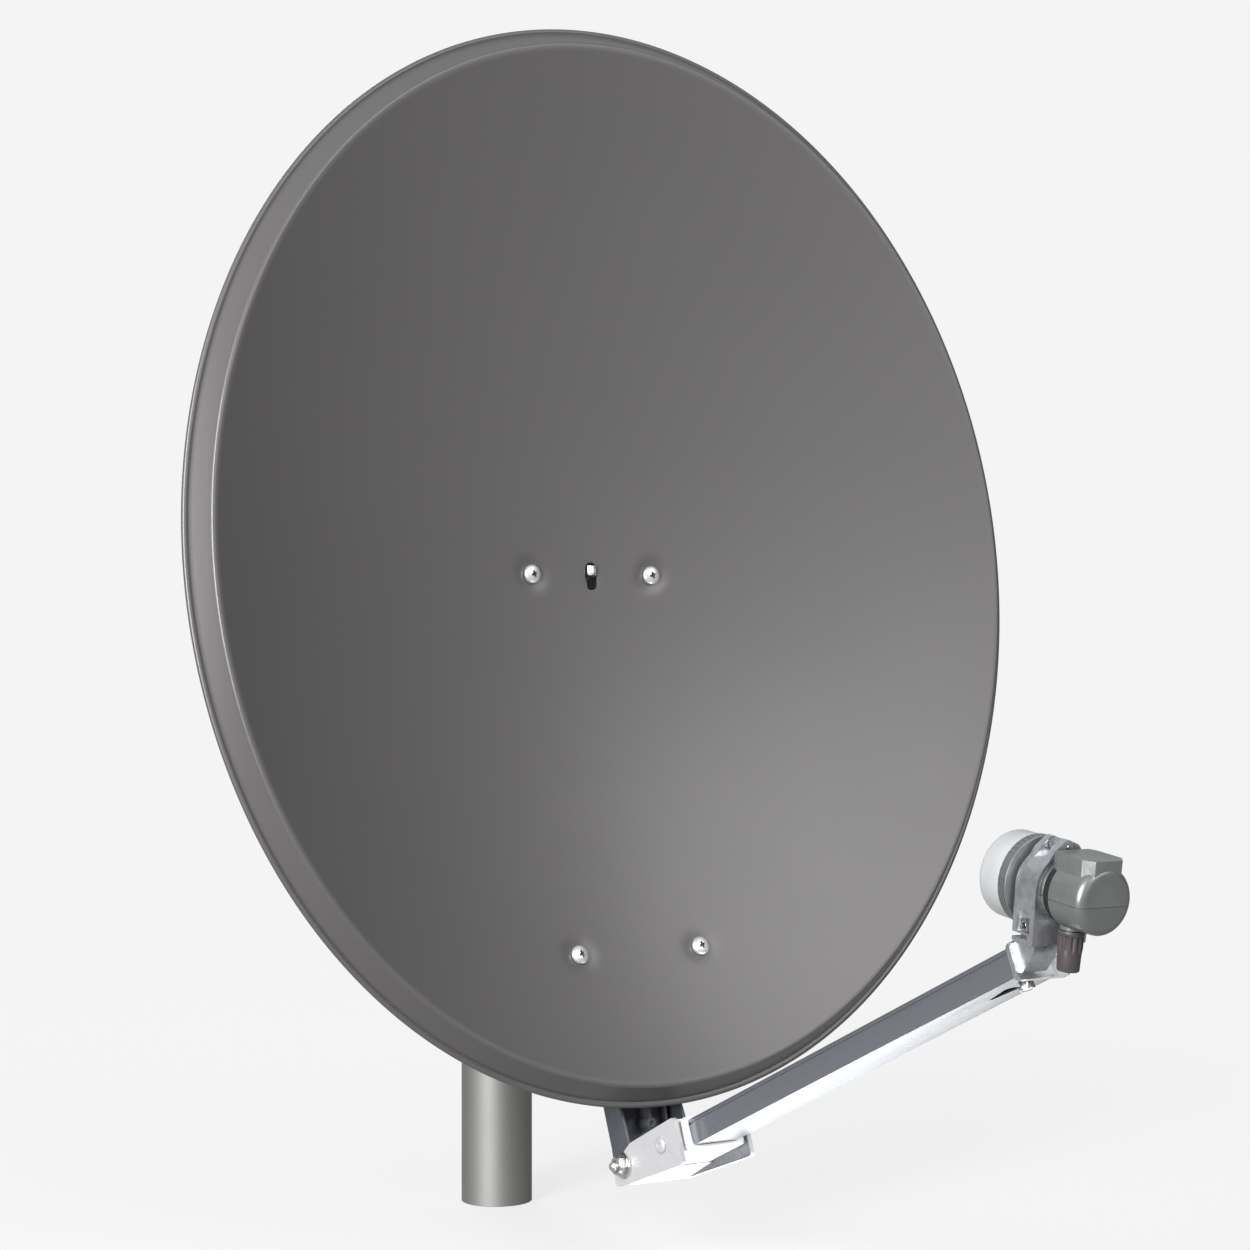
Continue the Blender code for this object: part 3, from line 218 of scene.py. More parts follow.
BRASS = surface("brass", (0.72, 0.58, 0.33), 0.28, 1.0, vary=0.08, patch=120.0, grain=0.05)
BOARD = surface("board", (0.02, 0.15, 0.07), 0.4, vary=0.15, patch=200.0, grain=0.05)


# Shapes

def axes(origin, x_axis, y_axis, z_axis):
    made = Matrix.Identity(4)
    for column, axis in enumerate((x_axis, y_axis, z_axis)):
        made.col[column][:3] = axis
    made.col[3][:3] = origin
    return made


X = Vector((1.0, 0.0, 0.0))
DISH_UP = Vector((0.0, math.sin(DISH_TILT), math.cos(DISH_TILT)))
DISH_OUT = Vector((0.0, -math.cos(DISH_TILT), math.sin(DISH_TILT)))
DISH = axes(RIM_CENTRE, X, DISH_UP, DISH_OUT)
ARM_ALONG = Vector((0.0, -math.cos(ARM_RISE), math.sin(ARM_RISE)))
ARM_UP = Vector((0.0, math.sin(ARM_RISE), math.cos(ARM_RISE)))
ARM = axes(ARM_PIVOT, X, ARM_UP, ARM_ALONG)
FEED_BACK = Vector((0.0, -math.cos(FEED_RISE), -math.sin(FEED_RISE)))
FEED_UP = Vector((0.0, -math.sin(FEED_RISE), math.cos(FEED_RISE)))
FEED = axes(FEED_CENTRE, X, FEED_UP, FEED_BACK)
SIDE = axes((0.0, 0.0, 0.0), (0.0, 1.0, 0.0), (0.0, 0.0, 1.0), X)
PLAN = Matrix.Identity(4)
ARM_SIDE = axes(ARM_PIVOT, ARM_ALONG, ARM_UP, -X)
DISH_SIDE = axes(RIM_CENTRE, DISH_OUT, DISH_UP, -X)
ARM_BELOW = axes(ARM_PIVOT, X, ARM_ALONG, -ARM_UP)


def toward(origin, direction):
    """A frame whose local Z points along a direction."""
    z_axis = Vector(direction).normalized()
    x_axis = Vector((0.0, 1.0, 0.0)) if abs(z_axis.x) > 0.9 else X
    y_axis = z_axis.cross(x_axis).normalized()
    return axes(origin, y_axis.cross(z_axis), y_axis, z_axis)


def moved(at, x=0.0, y=0.0, z=0.0):
    """A frame moved along its own axes."""
    return at @ Matrix.Translation((x, y, z))


def both_sides(inner, outer):
    """The same span at the left and at the right of the middle."""
    return [sorted((side * inner, side * outer)) for side in (-1, 1)]


def face_out(bm):
    bmesh.ops.recalc_face_normals(bm, faces=bm.faces)
    if bm.calc_volume(signed=True) < 0:
        bmesh.ops.reverse_faces(bm, faces=bm.faces)


def placed(name, data):
    made = bpy.data.objects.new(name, data)
    bpy.context.scene.collection.objects.link(made)
    return made


def solid(bm, matrix=PLAN, tidy=True):
    """An object in the scene from a bmesh, its place baked into its mesh."""
    if tidy:
        face_out(bm)
    mesh = bpy.data.meshes.new("shape")
    bm.to_mesh(mesh)
    bm.free()
    mesh.transform(matrix)
    return placed("shape", mesh)


def result_of(made):
    """The mesh that an object's curve or modifiers give."""
    bpy.context.view_layer.update()
    graph = bpy.context.evaluated_depsgraph_get()
    return bpy.data.meshes.new_from_object(made.evaluated_get(graph))


def evaluated(made):
    """Replaces an object's modifiers by the mesh that they give."""
    mesh = result_of(made)
    made.modifiers.clear()
    old = made.data
    made.data = mesh
    bpy.data.meshes.remove(old)
    return made


def merged(made):
    bm = bmesh.new()
    bm.from_mesh(made.data)
    bmesh.ops.remove_doubles(bm, verts=bm.verts, dist=WELD)
    face_out(bm)
    bm.to_mesh(made.data)
    bm.free()
    return made


def box(low, high, matrix=PLAN):
    bm = bmesh.new()
    bmesh.ops.create_cube(bm, size=1.0)
    low = Vector(low)
    high = Vector(high)
    for vert in bm.verts:
        vert.co = (low + high) / 2 + Vector(a * b for a, b in zip(vert.co, high - low))
    return solid(bm, matrix)


def rod(radius, z_low, z_high, matrix=PLAN, sides=48):
    bm = bmesh.new()
    middle = Matrix.Translation((0.0, 0.0, (z_low + z_high) / 2))
    bmesh.ops.create_cone(bm, cap_ends=True, segments=sides, radius1=radius, radius2=radius,
                          depth=z_high - z_low, matrix=middle)
    return solid(bm, matrix)


def turned(profile, matrix=PLAN, steps=FINE, closed=True):
    """Turns (radius, height) points about the local Z axis. An open profile starts and ends on the axis."""
    mesh = bpy.data.meshes.new("shape")
    count = len(profile)
    edges = [(i, (i + 1) % count) for i in range(count if closed else count - 1)]
    mesh.from_pydata([(r, 0.0, z) for r, z in profile], edges, [])
    spun = placed("shape", mesh)
    screw = spun.modifiers.new("turn", "SCREW")
    screw.steps = steps
    screw.render_steps = steps
    screw.use_merge_vertices = True
    screw.merge_threshold = 1e-5
    merged(evaluated(spun))
    spun.data.transform(matrix)
    return spun


def drawn(routes, z=0.0, cyclic=True, **settings):
    """A bmesh from a curve through each route's (x, y) points, with the ends of the curve welded on."""
    curve = bpy.data.curves.new("outline", "CURVE")
    for setting, value in settings.items():
        setattr(curve, setting, value)
    for route in routes:
        spline = curve.splines.new("POLY")
        spline.points.add(len(route) - 1)
        for point, (x, y) in zip(spline.points, route):
            point.co = (x, y, z, 1.0)
        spline.use_cyclic_u = cyclic
    made = placed("shape", curve)
    mesh = result_of(made)
    bpy.data.objects.remove(made, do_unlink=True)
    bpy.data.curves.remove(curve)
    bm = bmesh.new()
    bm.from_mesh(mesh)
    bpy.data.meshes.remove(mesh)
    bmesh.ops.remove_doubles(bm, verts=bm.verts, dist=WELD)
    return bm


def plate(outlines, z_low, z_high, matrix=PLAN):
    """A flat plate between two local heights: the first outline is its edge, the others are holes."""
    bm = drawn(outlines, dimensions="2D", fill_mode="BOTH", extrude=(z_high - z_low) / 2)
    bmesh.ops.dissolve_limit(bm, angle_limit=math.radians(0.5), verts=bm.verts, edges=bm.edges)
    bmesh.ops.translate(bm, verts=bm.verts, vec=(0.0, 0.0, (z_low + z_high) / 2))
    return solid(bm, matrix)


def change(first, others, operation):
    for other in others:
        step = first.modifiers.new(operation, "BOOLEAN")
        step.operation = operation
        step.solver = "EXACT"
        step.object = other
        merged(evaluated(first))
        bpy.data.objects.remove(other, do_unlink=True)
    return first


def join(first, *others):
    return change(first, others, "UNION")


def cut(first, *others):
    return change(first, others, "DIFFERENCE")


def gather(*objects):
    """Several separate solids as one object."""
    bm = bmesh.new()
    for made in objects:
        bm.from_mesh(made.data)
        bpy.data.objects.remove(made, do_unlink=True)
    return solid(bm, tidy=False)


def soften(made, width, segments=2, angle=40.0):
    """Rounds the sharp edges."""
    bevel = made.modifiers.new("edges", "BEVEL")
    bevel.width = width
    bevel.segments = segments
    bevel.limit_method = "ANGLE"
    bevel.angle_limit = math.radians(angle)
    return evaluated(made)


def arc(centre, radius, start, end, steps):
    """Points on a circle between two angles in degrees."""
    turns = [math.radians(start + (end - start) * i / steps) for i in range(steps + 1)]
    return [(centre[0] + radius * math.cos(a), centre[1] + radius * math.sin(a)) for a in turns]


def circle(centre, radius, sides=48):
    return arc(centre, radius, 0.0, 360.0, sides)[:-1]


def rounded(corners, radius, steps=8):
    """An outline with its corners rounded by arcs of one radius."""
    points = []
    count = len(corners)
    for i in range(count):
        here = Vector(corners[i])
        back = (Vector(corners[i - 1]) - here).normalized()
        ahead = (Vector(corners[(i + 1) % count]) - here).normalized()
        half = back.angle(ahead) / 2
        reach = radius / math.tan(half)
        middle = here + (back + ahead).normalized() * (radius / math.sin(half))
        first = here + back * reach - middle
        last = here + ahead * reach - middle
        for k in range(steps + 1):
            points.append(tuple(middle + first.lerp(last, k / steps).normalized() * radius))
    return points


def oblong(half_x, low, high):
    return [(-half_x, low), (half_x, low), (half_x, high), (-half_x, high)]


def section(inner, outer, low, high):
    """The profile of a flat ring, for turned."""
    return [(outer, high), (outer, low), (inner, low), (inner, high)]


def with_mirror(points, x_sign, y_sign):
    """Points, then their mirror images in reverse order."""
    return points + [(x_sign * x, y_sign * y) for x, y in reversed(points)]


def ring_loft(rings, matrix=PLAN, closed=False):
    """Skins a row of rings with the same number of points: capped at both ends, or joined end to end."""
    bm = bmesh.new()
    rows = [[bm.verts.new(point) for point in ring] for ring in rings]
    size = len(rings[0])
    spans = list(zip(rows, rows[1:] + rows[:1])) if closed else list(zip(rows, rows[1:]))
    for low, high in spans:
        for i in range(size):
            j = (i + 1) % size
            bm.faces.new((low[i], low[j], high[j], high[i]))
    if not closed:
        bm.faces.new(rows[0])
        bm.faces.new(rows[-1])
    return solid(bm, matrix)


def finish_piece(made, name, body, material, node, angle=38.0):
    """Names a piece, gives it its surface and lets it stand in for a node of the frame."""
    made.name = name
    made.data.name = name
    made.data.materials.clear()
    made.data.materials.append(material)
    for polygon in made.data.polygons:
        polygon.material_index = 0
    made.data.shade_smooth()
    made.data.set_sharp_from_angle(angle=math.radians(angle))
    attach(made, body)
    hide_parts(node)


def repaint(made, material, faces):
    """Gives some faces of a finished piece a second surface: here a dark surface painted as shade in recesses
    and between parts.
    """
    made.data.materials.append(material)
    for face in faces:
        face.material_index = 1


# Reflector

def dish_surface(x, v):
    """The point of the reflecting face below the rim-plane point (x, v), and its normal."""
    eta = v * math.cos(OFFSET_ANGLE)
    depth = (APERTURE**2 - x**2 - eta**2) / (4 * FOCAL)
    point = Vector((x, v - depth * math.sin(OFFSET_ANGLE), RIM_BACK - depth * math.cos(OFFSET_ANGLE)))
    across = Vector((1.0, x / (2 * FOCAL) * math.sin(OFFSET_ANGLE), x / (2 * FOCAL) * math.cos(OFFSET_ANGLE)))
    slope = eta * math.cos(OFFSET_ANGLE) / (2 * FOCAL)
    up = Vector((0.0, 1.0 + slope * math.sin(OFFSET_ANGLE), slope * math.cos(OFFSET_ANGLE)))
    return point, across.cross(up).normalized()


def screw_points():
    return [(side * SCREW_X, v) for v in (SCREW_V_TOP, SCREW_V_LOW) for side in (-1, 1)]


def screw_frame(x, v):
    point, normal = dish_surface(x, v)
    return toward(DISH @ point, DISH.to_3x3() @ normal)


def dimple(x, v):
    """How far the sheet is drawn in around its screws and its slot."""
    spots = [(sx, sv, 0.0017, 0.0115) for sx, sv in screw_points()] + [(0.0, SLOT_V, 0.0006, 0.0075)]
    total = 0.0
    for sx, sv, depth, radius in spots:
        reach = ((x - sx)**2 + (v - sv)**2) / radius**2
        if reach < 6.0:
            total += depth * math.exp(-reach**1.5)
    return total


def rim_profile():
    """(outward, backward) steps from the aperture edge over the crease and flange to the rolled bead."""
    crease = [(0.0014, 0.0001), (0.0020, 0.0004), (0.0025, 0.0009), (0.0029, 0.0015), (0.0033, 0.0022)]
    flange = [(0.0050, 0.0048), (0.0070, 0.0078), (0.0090, 0.0107), (0.0112, 0.0138)]
    groove = [(0.0124, 0.0154), (0.0129, 0.0163), (0.0132, 0.0172)]
    middle = (RIM_OUT - FINE_BEAD, RIM_BACK + BEAD_R - FINE_BEAD)
    bead = arc(middle, FINE_BEAD, -125.0, 100.0, 20)
    return crease + flange + groove + bead


def make_reflector():
    bm = bmesh.new()
    half_high = APERTURE / math.cos(OFFSET_ANGLE)
    turns = [2 * math.pi * i / RIM_STEPS for i in range(RIM_STEPS)]
    rows = []
    for ring in range(1, FACE_RINGS + 1):
        share = ring / FACE_RINGS
        row = []
        for a in turns:
            x = APERTURE * share * math.cos(a)
            v = half_high * share * math.sin(a)
            point, normal = dish_surface(x, v)
            row.append(bm.verts.new(point - normal * dimple(x, v)))
        rows.append(row)
    for outward, backward in rim_profile():
        row = []
        for a in turns:
            normal = Vector((half_high * math.cos(a), APERTURE * math.sin(a))).normalized()
            row.append(bm.verts.new((APERTURE * math.cos(a) + outward * normal.x,
                                     half_high * math.sin(a) + outward * normal.y,
                                     RIM_BACK - backward)))
        rows.append(row)
    centre = bm.verts.new(dish_surface(0.0, 0.0)[0])
    for i in range(RIM_STEPS):
        j = (i + 1) % RIM_STEPS
        bm.faces.new((centre, rows[0][i], rows[0][j]))
        for low, high in zip(rows, rows[1:]):
            bm.faces.new((low[i], high[i], high[j], low[j]))
    shell = solid(bm, tidy=False)
    thicken = shell.modifiers.new("sheet", "SOLIDIFY")
    thicken.thickness = SHEET
    thicken.offset = -1.0
    thicken.use_even_offset = True
    evaluated(shell)
    shell.data.transform(DISH)
    holes = [rod(SCREW_R + PLAY, -0.010, 0.010, screw_frame(x, v), 24) for x, v in screw_points()]
    slot = rounded(oblong(0.0056, -0.0112, 0.0112), 0.0052, 10)
    holes.append(plate([slot], -0.010, 0.010, moved(DISH, *dish_surface(0.0, SLOT_V)[0])))
    cut(shell, gather(*holes))
    finish_piece(shell, "dish_skin", "dish", DISH_PAINT, "reflector", angle=50.0)


def pan_screw(at, length):
    """A pan-head screw with a cross recess."""
    seat = -0.0008
    crown = 0.0072
    rise = 0.0026
    brim = 0.0074
    turns = [math.radians(9.0 * i) for i in range(1, 10)]
    dome = [(0.0, 0.0038)] + [(crown * math.sin(a), 0.0012 + rise * math.cos(a)) for a in turns]
    head = dome + [(brim, 0.0011), (brim, seat + 0.0003), (0.0070, seat)]
    shank = [(SCREW_R, seat), (SCREW_R, -length + 0.001), (SCREW_R - 0.001, -length), (0.0, -length)]
    made = turned(head + shank, PLAN, 64, closed=False)
    arms = []
    for turn in (0.0, 90.0):
        spin = Matrix.Rotation(math.radians(turn + 20.0), 4, "Z")
        wedge = [(-0.0031, 0.0052), (0.0031, 0.0052), (0.0027, 0.0026), (0.0010, 0.0004), (-0.0010, 0.0004),
                 (-0.0027, 0.0026)]
        arms.append(plate([wedge], -0.0010, 0.0010, spin @ axes((0, 0, 0), X, (0, 0, 1), (0, -1, 0))))
    cut(made, *arms)
    # Faces of the cross recess, which later get a dark surface as painted shade.
    recess = []
    for face in made.data.polygons:
        out = face.center.xy.length
        if out < 0.0034 and 0.0 < face.center.z < 0.0009 + rise * math.sqrt(1.0 - (out / crown)**2):
            recess.append(face)
    made.data.transform(at)
    return made, recess


# Fasteners

def ring(radius_at, z, sides=48, start=math.pi / 6):
    """A ring of points whose radius depends on the angle."""
    points = []
    for i in range(sides):
        a = 2 * math.pi * i / sides
        radius = radius_at(a)
        points.append((radius * math.cos(a + start), radius * math.sin(a + start), z))
    return points


def hexagon(across, z, cap=math.inf):
    """Points round a hexagon, held inside a circle where cap is given."""
    def radius_at(a):
        fold = (a + math.pi / 6) % (math.pi / 3) - math.pi / 6
        return min(across / 2 / math.cos(fold), cap)

    return ring(radius_at, z)


def ring_of(radius, z):
    return ring(lambda a: radius, z)


def hex_bolt(radius, length, across, head, at):
    """A bolt with its head's underside at local z = 0, a chamfered head and a thread of fine rings."""
    flat = across / 2
    pitch = 0.00125
    rings = [ring_of(radius * 0.6, -length), ring_of(radius, -length + radius * 0.4)]
    z = -length + radius * 0.4 + pitch
    threaded = -length + min(length * 0.75, 0.022)
    while z < threaded:
        rings.append(ring_of(radius, z - pitch * 0.40))
        rings.append(ring_of(radius * 0.87, z - pitch * 0.10))
        rings.append(ring_of(radius, z + pitch * 0.20))
        z += pitch
    rings += [ring_of(radius, 0.0), ring_of(flat * 0.97, 0.0), hexagon(across, 0.0006, cap=flat * 1.12)]
    rings += [hexagon(across, head - 0.0009), hexagon(across, head, cap=flat * 1.01)]
    rings += [ring_of(flat * 0.86, head), ring_of(flat * 0.80, head - 0.0004)]
    return ring_loft(rings, at)


def hex_nut(bore, across, thick, at):
    flat = across / 2
    rings = [ring_of(bore, 0.0005), ring_of(bore + 0.0006, 0.0), hexagon(across, 0.0, cap=flat * 1.01)]
    rings += [hexagon(across, 0.0009), hexagon(across, thick - 0.0009)]
    rings += [hexagon(across, thick, cap=flat * 1.01), ring_of(bore + 0.0006, thick)]
    rings.append(ring_of(bore, thick - 0.0005))
    return ring_loft(rings, at, closed=True)


# Mast and its clamp

def make_mast():
    inner = MAST_R - MAST_WALL
    lip = 0.0004
    profile = [(MAST_R, MAST_TOP - lip), (MAST_R, lip), (MAST_R - lip, 0.0), (inner + lip, 0.0), (inner, lip),
               (inner, MAST_TOP - lip), (inner + lip, MAST_TOP), (MAST_R - lip, MAST_TOP)]
    finish_piece(turned(profile), "mast_pipe", "mast", MAST_METAL, "mast_tube")
    plug = inner - 0.0004
    top = MAST_TOP + GAP
    rim = arc((MAST_R - 0.0021, top + 0.0018), 0.0022, 90.0, 0.0, 6)
    profile = [(0.0, top + 0.0037)] + [(r + 0.0003, z) for r, z in rim]
    profile += [(MAST_R + 0.0004, top), (plug, top), (plug, top - 0.015), (0.0, top - 0.015)]
    finish_piece(turned(profile, closed=False), "mast_top_cap", "mast", BLACK_PLASTIC, "mast_cap")
    profile = [(0.0, 0.012), (plug, 0.012), (plug, 0.0005), (plug - 0.0005, 0.0), (0.0, 0.0)]
    finish_piece(turned(profile, closed=False), "mast_plug", "mast", BLACK_PLASTIC, "mast_foot_plug")


def lock_yz(turn=0.0, radius=LOCK_RADIUS):
    return (PIVOT_YZ[0] + radius * math.sin(turn), PIVOT_YZ[1] + radius * math.cos(turn))


def make_saddle():
    wide = SADDLE_X + SADDLE_T
    low = 0.360
    high = 0.515
    back = SADDLE_Y + 0.005
    saddle = box((-wide, SADDLE_Y, low), (wide, back, high))
    pivot = PIVOT_YZ
    lock = lock_yz()
    cheek = arc(pivot, 0.015, 180.0, 270.0, 12) + [(SADDLE_Y + 0.002, low + 0.010),
                                                   (SADDLE_Y + 0.002, high - 0.010)]
    cheek += arc(lock, 0.014, 90.0, 180.0, 12)
    holes = [circle(middle, BOLT_R + PLAY) for middle in (pivot, lock)]
    for limits in both_sides(SADDLE_X, wide):
        join(saddle, plate([cheek, *holes], *limits, SIDE))
    for z in UBOLT_Z:
        join(saddle, box((-0.024, back - 0.001, z - 0.013), (0.024, -0.017, z + 0.013)))
    cuts = [rod(MAST_R + 0.0005, low - 0.01, high + 0.01, PLAN, FINE)]
    for z in UBOLT_Z:
        for side in (-1, 1):
            at = toward((side * UBOLT_R, 0.0, z), (0.0, -1.0, 0.0))
            cuts.append(rod(BOLT_R + PLAY, 0.02, 0.08, at, 32))
        for k in range(-5, 6):
            tooth = [(-0.0012, 0.0), (0.0012, 0.0), (0.0, 0.0016)]
            spot = axes((0.0, 0.0, z + k * 0.0024), (0, 0, 1), (0, -1, 0), X)
            cuts.append(plate([[(x, y + MAST_R - 0.0002) for x, y in tooth]], -0.020, 0.020, spot))
    cut(saddle, *cuts)
    soften(saddle, 0.0006)
    finish_piece(saddle, "saddle_plate", "mount", GALVANISED, "mast_saddle")


def make_u_bolt(name, z):
    route = [(UBOLT_R, -0.066), (UBOLT_R, -0.03)] + arc((0.0, 0.0), UBOLT_R, 0.0, 180.0, 40)
    route += [(-UBOLT_R, -0.03), (-UBOLT_R, -0.066)]
    bm = drawn([route], z, False, dimensions="3D", bevel_depth=BOLT_R, bevel_resolution=8,
               use_fill_caps=True)
    finish_piece(solid(bm), name + "_bar", "mount", ZINC, name)
    for side, word in ((-1, "left"), (1, "right")):
        at = toward((side * UBOLT_R, SADDLE_Y - GAP, z), (0.0, -1.0, 0.0))
        node = f"{name}_nut_{word}"
        finish_piece(hex_nut(BOLT_R + THREAD_PLAY, NUT_AF, NUT_T, at), node + "_hex", "mount", ZINC, node)


def make_elevation_bolts():
    wide = SADDLE_X + SADDLE_T
    for name, (y, z) in (("elevation_pivot", PIVOT_YZ), ("elevation_lock", lock_yz())):
        at = toward((-wide - GAP, y, z), (-1.0, 0.0, 0.0))
        bolt = hex_bolt(BOLT_R, 2 * wide + 0.011, NUT_AF, 0.0053, at)
        finish_piece(bolt, name + "_bolt_hex", "mount", ZINC, name + "_bolt")
        at = toward((wide + GAP, y, z), (1.0, 0.0, 0.0))
        nut = hex_nut(BOLT_R + THREAD_PLAY, NUT_AF, NUT_T, at)
        finish_piece(nut, name + "_nut_hex", "mount", ZINC, name + "_nut")


# Rear frame and foot

def dish_yz(out, up):
    point = DISH @ Vector((0.0, up, out))
    return (point.y, point.z)


def web_frame():
    top = Vector(dish_yz(*WEB_TOP))
    low = Vector(dish_yz(*WEB_LOW))
    along = (top - low).normalized()
    out = Vector((-along.y, along.x))
    return axes((0.0, low.x, low.y), X, (0.0, along.x, along.y), (0.0, out.x, out.y)), top, low, along, out


def foot_bolt_frames():
    """The frames of the two bolts that hold the foot to the channel, pointing out of its web."""
    web = web_frame()[0]
    out = web.to_3x3() @ Vector((0.0, 0.0, 1.0))
    return [toward(web @ Vector((x, FOOT_BOLT_UP, 0.0)), out) for x in (-FOOT_BOLT_X, FOOT_BOLT_X)]


def make_rear_frame():
    web, top, low, along, out = web_frame()
    inverse = web.inverted()
    length = (top - low).length
    spine = FRAME_X + FRAME_T
    ears = [inverse @ (DISH @ dish_surface(x, v)[0]) for x, v in screw_points()]
    ear_top = ears[0].y
    ear_low = ears[2].y
    reach = 0.068
    half = 0.013
    right = [(spine, 0.0), (spine, ear_low - half - 0.012), (reach, ear_low - half), (reach, ear_low + half),
             (spine, ear_low + half + 0.012), (spine, ear_top - half - 0.012), (reach, ear_top - half),
             (reach, ear_top + half), (spine, length)]
    outline = rounded(with_mirror(right, -1, 1), 0.004, 6)
    made = plate([outline], -FRAME_T, 0.0, web)
    pivot = PIVOT_YZ
    flange = [tuple(low + along * 0.02 - out * 0.001), tuple(low + along * 0.04 - out * 0.016)]
    flange += [(pivot[0] + 0.004, pivot[1] - 0.020), (pivot[0] + 0.015, pivot[1] - 0.006)]
    swing = LOCK_SWING + math.radians(11.0)
    outer = LOCK_RADIUS + 0.0115
    flange += [lock_yz(swing, LOCK_RADIUS - 0.014)]
    flange += [lock_yz(swing - 2 * swing * i / 24, outer) for i in range(25)]
    flange += [tuple(low + along * (length - 0.045) - out * 0.012), tuple(top - along * 0.006 - out * 0.001)]
    inner = LOCK_RADIUS - BOLT_R - PLAY
    turns = [SLOT_SWING * (1 - 2 * i / 24) for i in range(25)]
    slot = [lock_yz(a, inner) for a in turns] + [lock_yz(a, inner + 2 * BOLT_R + 0.0008)
                                                 for a in reversed(turns)]
    for limits in both_sides(FRAME_X, spine):
        join(made, plate([flange, circle(pivot, BOLT_R + PLAY), slot], *limits, SIDE))
    bores = []
    for number, (x, v) in enumerate(screw_points()):
        at = screw_frame(x, v)
        local = inverse @ (DISH @ dish_surface(x, v)[0])
        depth = local.z / abs((inverse.to_3x3() @ at.to_3x3().col[2]).z)
        join(made, rod(0.0075, -depth - 0.0012, -SHEET - GAP, at, 48))
        bores.append(rod(SCREW_R + PLAY, -depth - 0.03, 0.01, at, 24))
        screw, recess = pan_screw(at, depth + 0.013)
        node = f"reflector_screw_{number + 1}"
        finish_piece(screw, node + "_pan", "dish", SCREW_ZINC, node)
        # The cross recess is painted dark: painted shade in the recess.
        repaint(screw, DARK_CASTING_AND_SHADE, recess)
        tail = -depth - FRAME_T - 0.0065
        nut = hex_nut(SCREW_R + THREAD_PLAY, 0.010, 0.0045, moved(at, z=tail))
        node = f"reflector_nut_{number + 1}"
        finish_piece(nut, node + "_hex", "dish", ZINC, node)
    bores += [rod(SMALL_BORE, -0.02, 0.02, at, 24) for at in foot_bolt_frames()]
    cut(made, *bores)
    soften(made, 0.0005)
    finish_piece(made, "rear_channel", "dish", GALVANISED, "rear_frame")


def make_hook():
    web = web_frame()[0]
    local = web.inverted() @ (DISH @ dish_surface(0.0, SLOT_V)[0])
    outline = [(0.0, local.z + 0.0005), (0.0012, local.z + 0.0026), (0.0086, local.z + 0.0026),
               (0.0086, local.z + 0.0010), (0.0030, local.z - 0.0010), (0.0025, GAP), (-0.012, GAP),
               (-0.012, 0.0022), (0.0, 0.0022)]
    at = moved(web, y=local.y) @ SIDE
    made = plate([outline], -0.0042, 0.0042, at)
    soften(made, 0.0006, 4)
    finish_piece(made, "hook_tongue", "dish", BRIGHT_ZINC, "hook_tab")


def make_foot():
    pivot = DISH_SIDE.inverted() @ ARM_PIVOT
    walls = [(-0.0472, -0.3250), (-0.0447, -0.3650), (-0.0420, -0.4270), (-0.0330, -0.4600),
             (-0.0295, -0.4830)]
    nose = arc((pivot.x, pivot.y), 0.0098, -115.0, 25.0, 20)
    front = [(-0.0088, -0.4550), (-0.0120, -0.4440), (-0.0174, -0.4300), (-0.0280, -0.3600),
             (-0.0355, -0.3250)]
    foot = plate([walls + nose + front], -FOOT_X, FOOT_X, DISH_SIDE)
    hollow = [(-0.0449, -0.3150), (-0.0417, -0.3650), (-0.0390, -0.4262), (-0.0300, -0.4593),
              (-0.0262, -0.4950), (0.0300, -0.4950), (0.0300, -0.3150)]
    cut(foot, plate([hollow], -FOOT_X + FOOT_T, FOOT_X - FOOT_T, DISH_SIDE))
    rib = [(-0.0395, -0.3400), (-0.0395, -0.4255), (-0.0325, -0.4500), (-0.0210, -0.4480),
           (-0.0190, -0.4400), (-0.0200, -0.4300), (-0.0300, -0.3600)]
    join(foot, plate([rib], -0.0011, 0.0011, DISH_SIDE))
    boss_at = moved(DISH, y=-0.4425)
    join(foot, rod(0.0042, -0.0340, -0.0180, boss_at, 40))
    lobe = [(-0.0400, -0.3300), (-0.0400, -0.4250), (-0.0345, -0.4460), (-0.0260, -0.4440),
            (-0.0270, -0.4300), (-0.0330, -0.4180), (-0.0340, -0.3600)]
    for limits in both_sides(0.0185, 0.0203):
        join(foot, plate([lobe], *limits, DISH_SIDE))
    cuts = [rod(BOLT_R + PLAY, -0.05, 0.05, toward(ARM_PIVOT, X), 40)]
    cuts.append(rod(0.0016, -0.0200, -0.0100, boss_at, 24))
    for number, at in enumerate(foot_bolt_frames()):
        cuts.append(rod(SMALL_BORE, -0.02, 0.02, at, 24))
        bolt = hex_bolt(SMALL_BOLT_R, 0.014, 0.010, 0.004, moved(at, z=0.0070))
        node = f"foot_bolt_{number + 1}"
        finish_piece(bolt, node + "_hex", "dish", ZINC, node)
    cut(foot, *cuts)
    soften(foot, 0.0005)
    finish_piece(foot, "foot_casting", "dish", DARK_CASTING_AND_SHADE, "foot_bracket")


# Feed arm

def rivet_frame():
    return toward(ARM @ Vector((0.0, RIVET_AT[1], RIVET_AT[0])), X)


def holder_bolt_frame():
    return toward(ARM @ Vector((0.0, TUBE_V - TUBE_HALF[1], HOLDER_BOLT_U)), -ARM_UP)


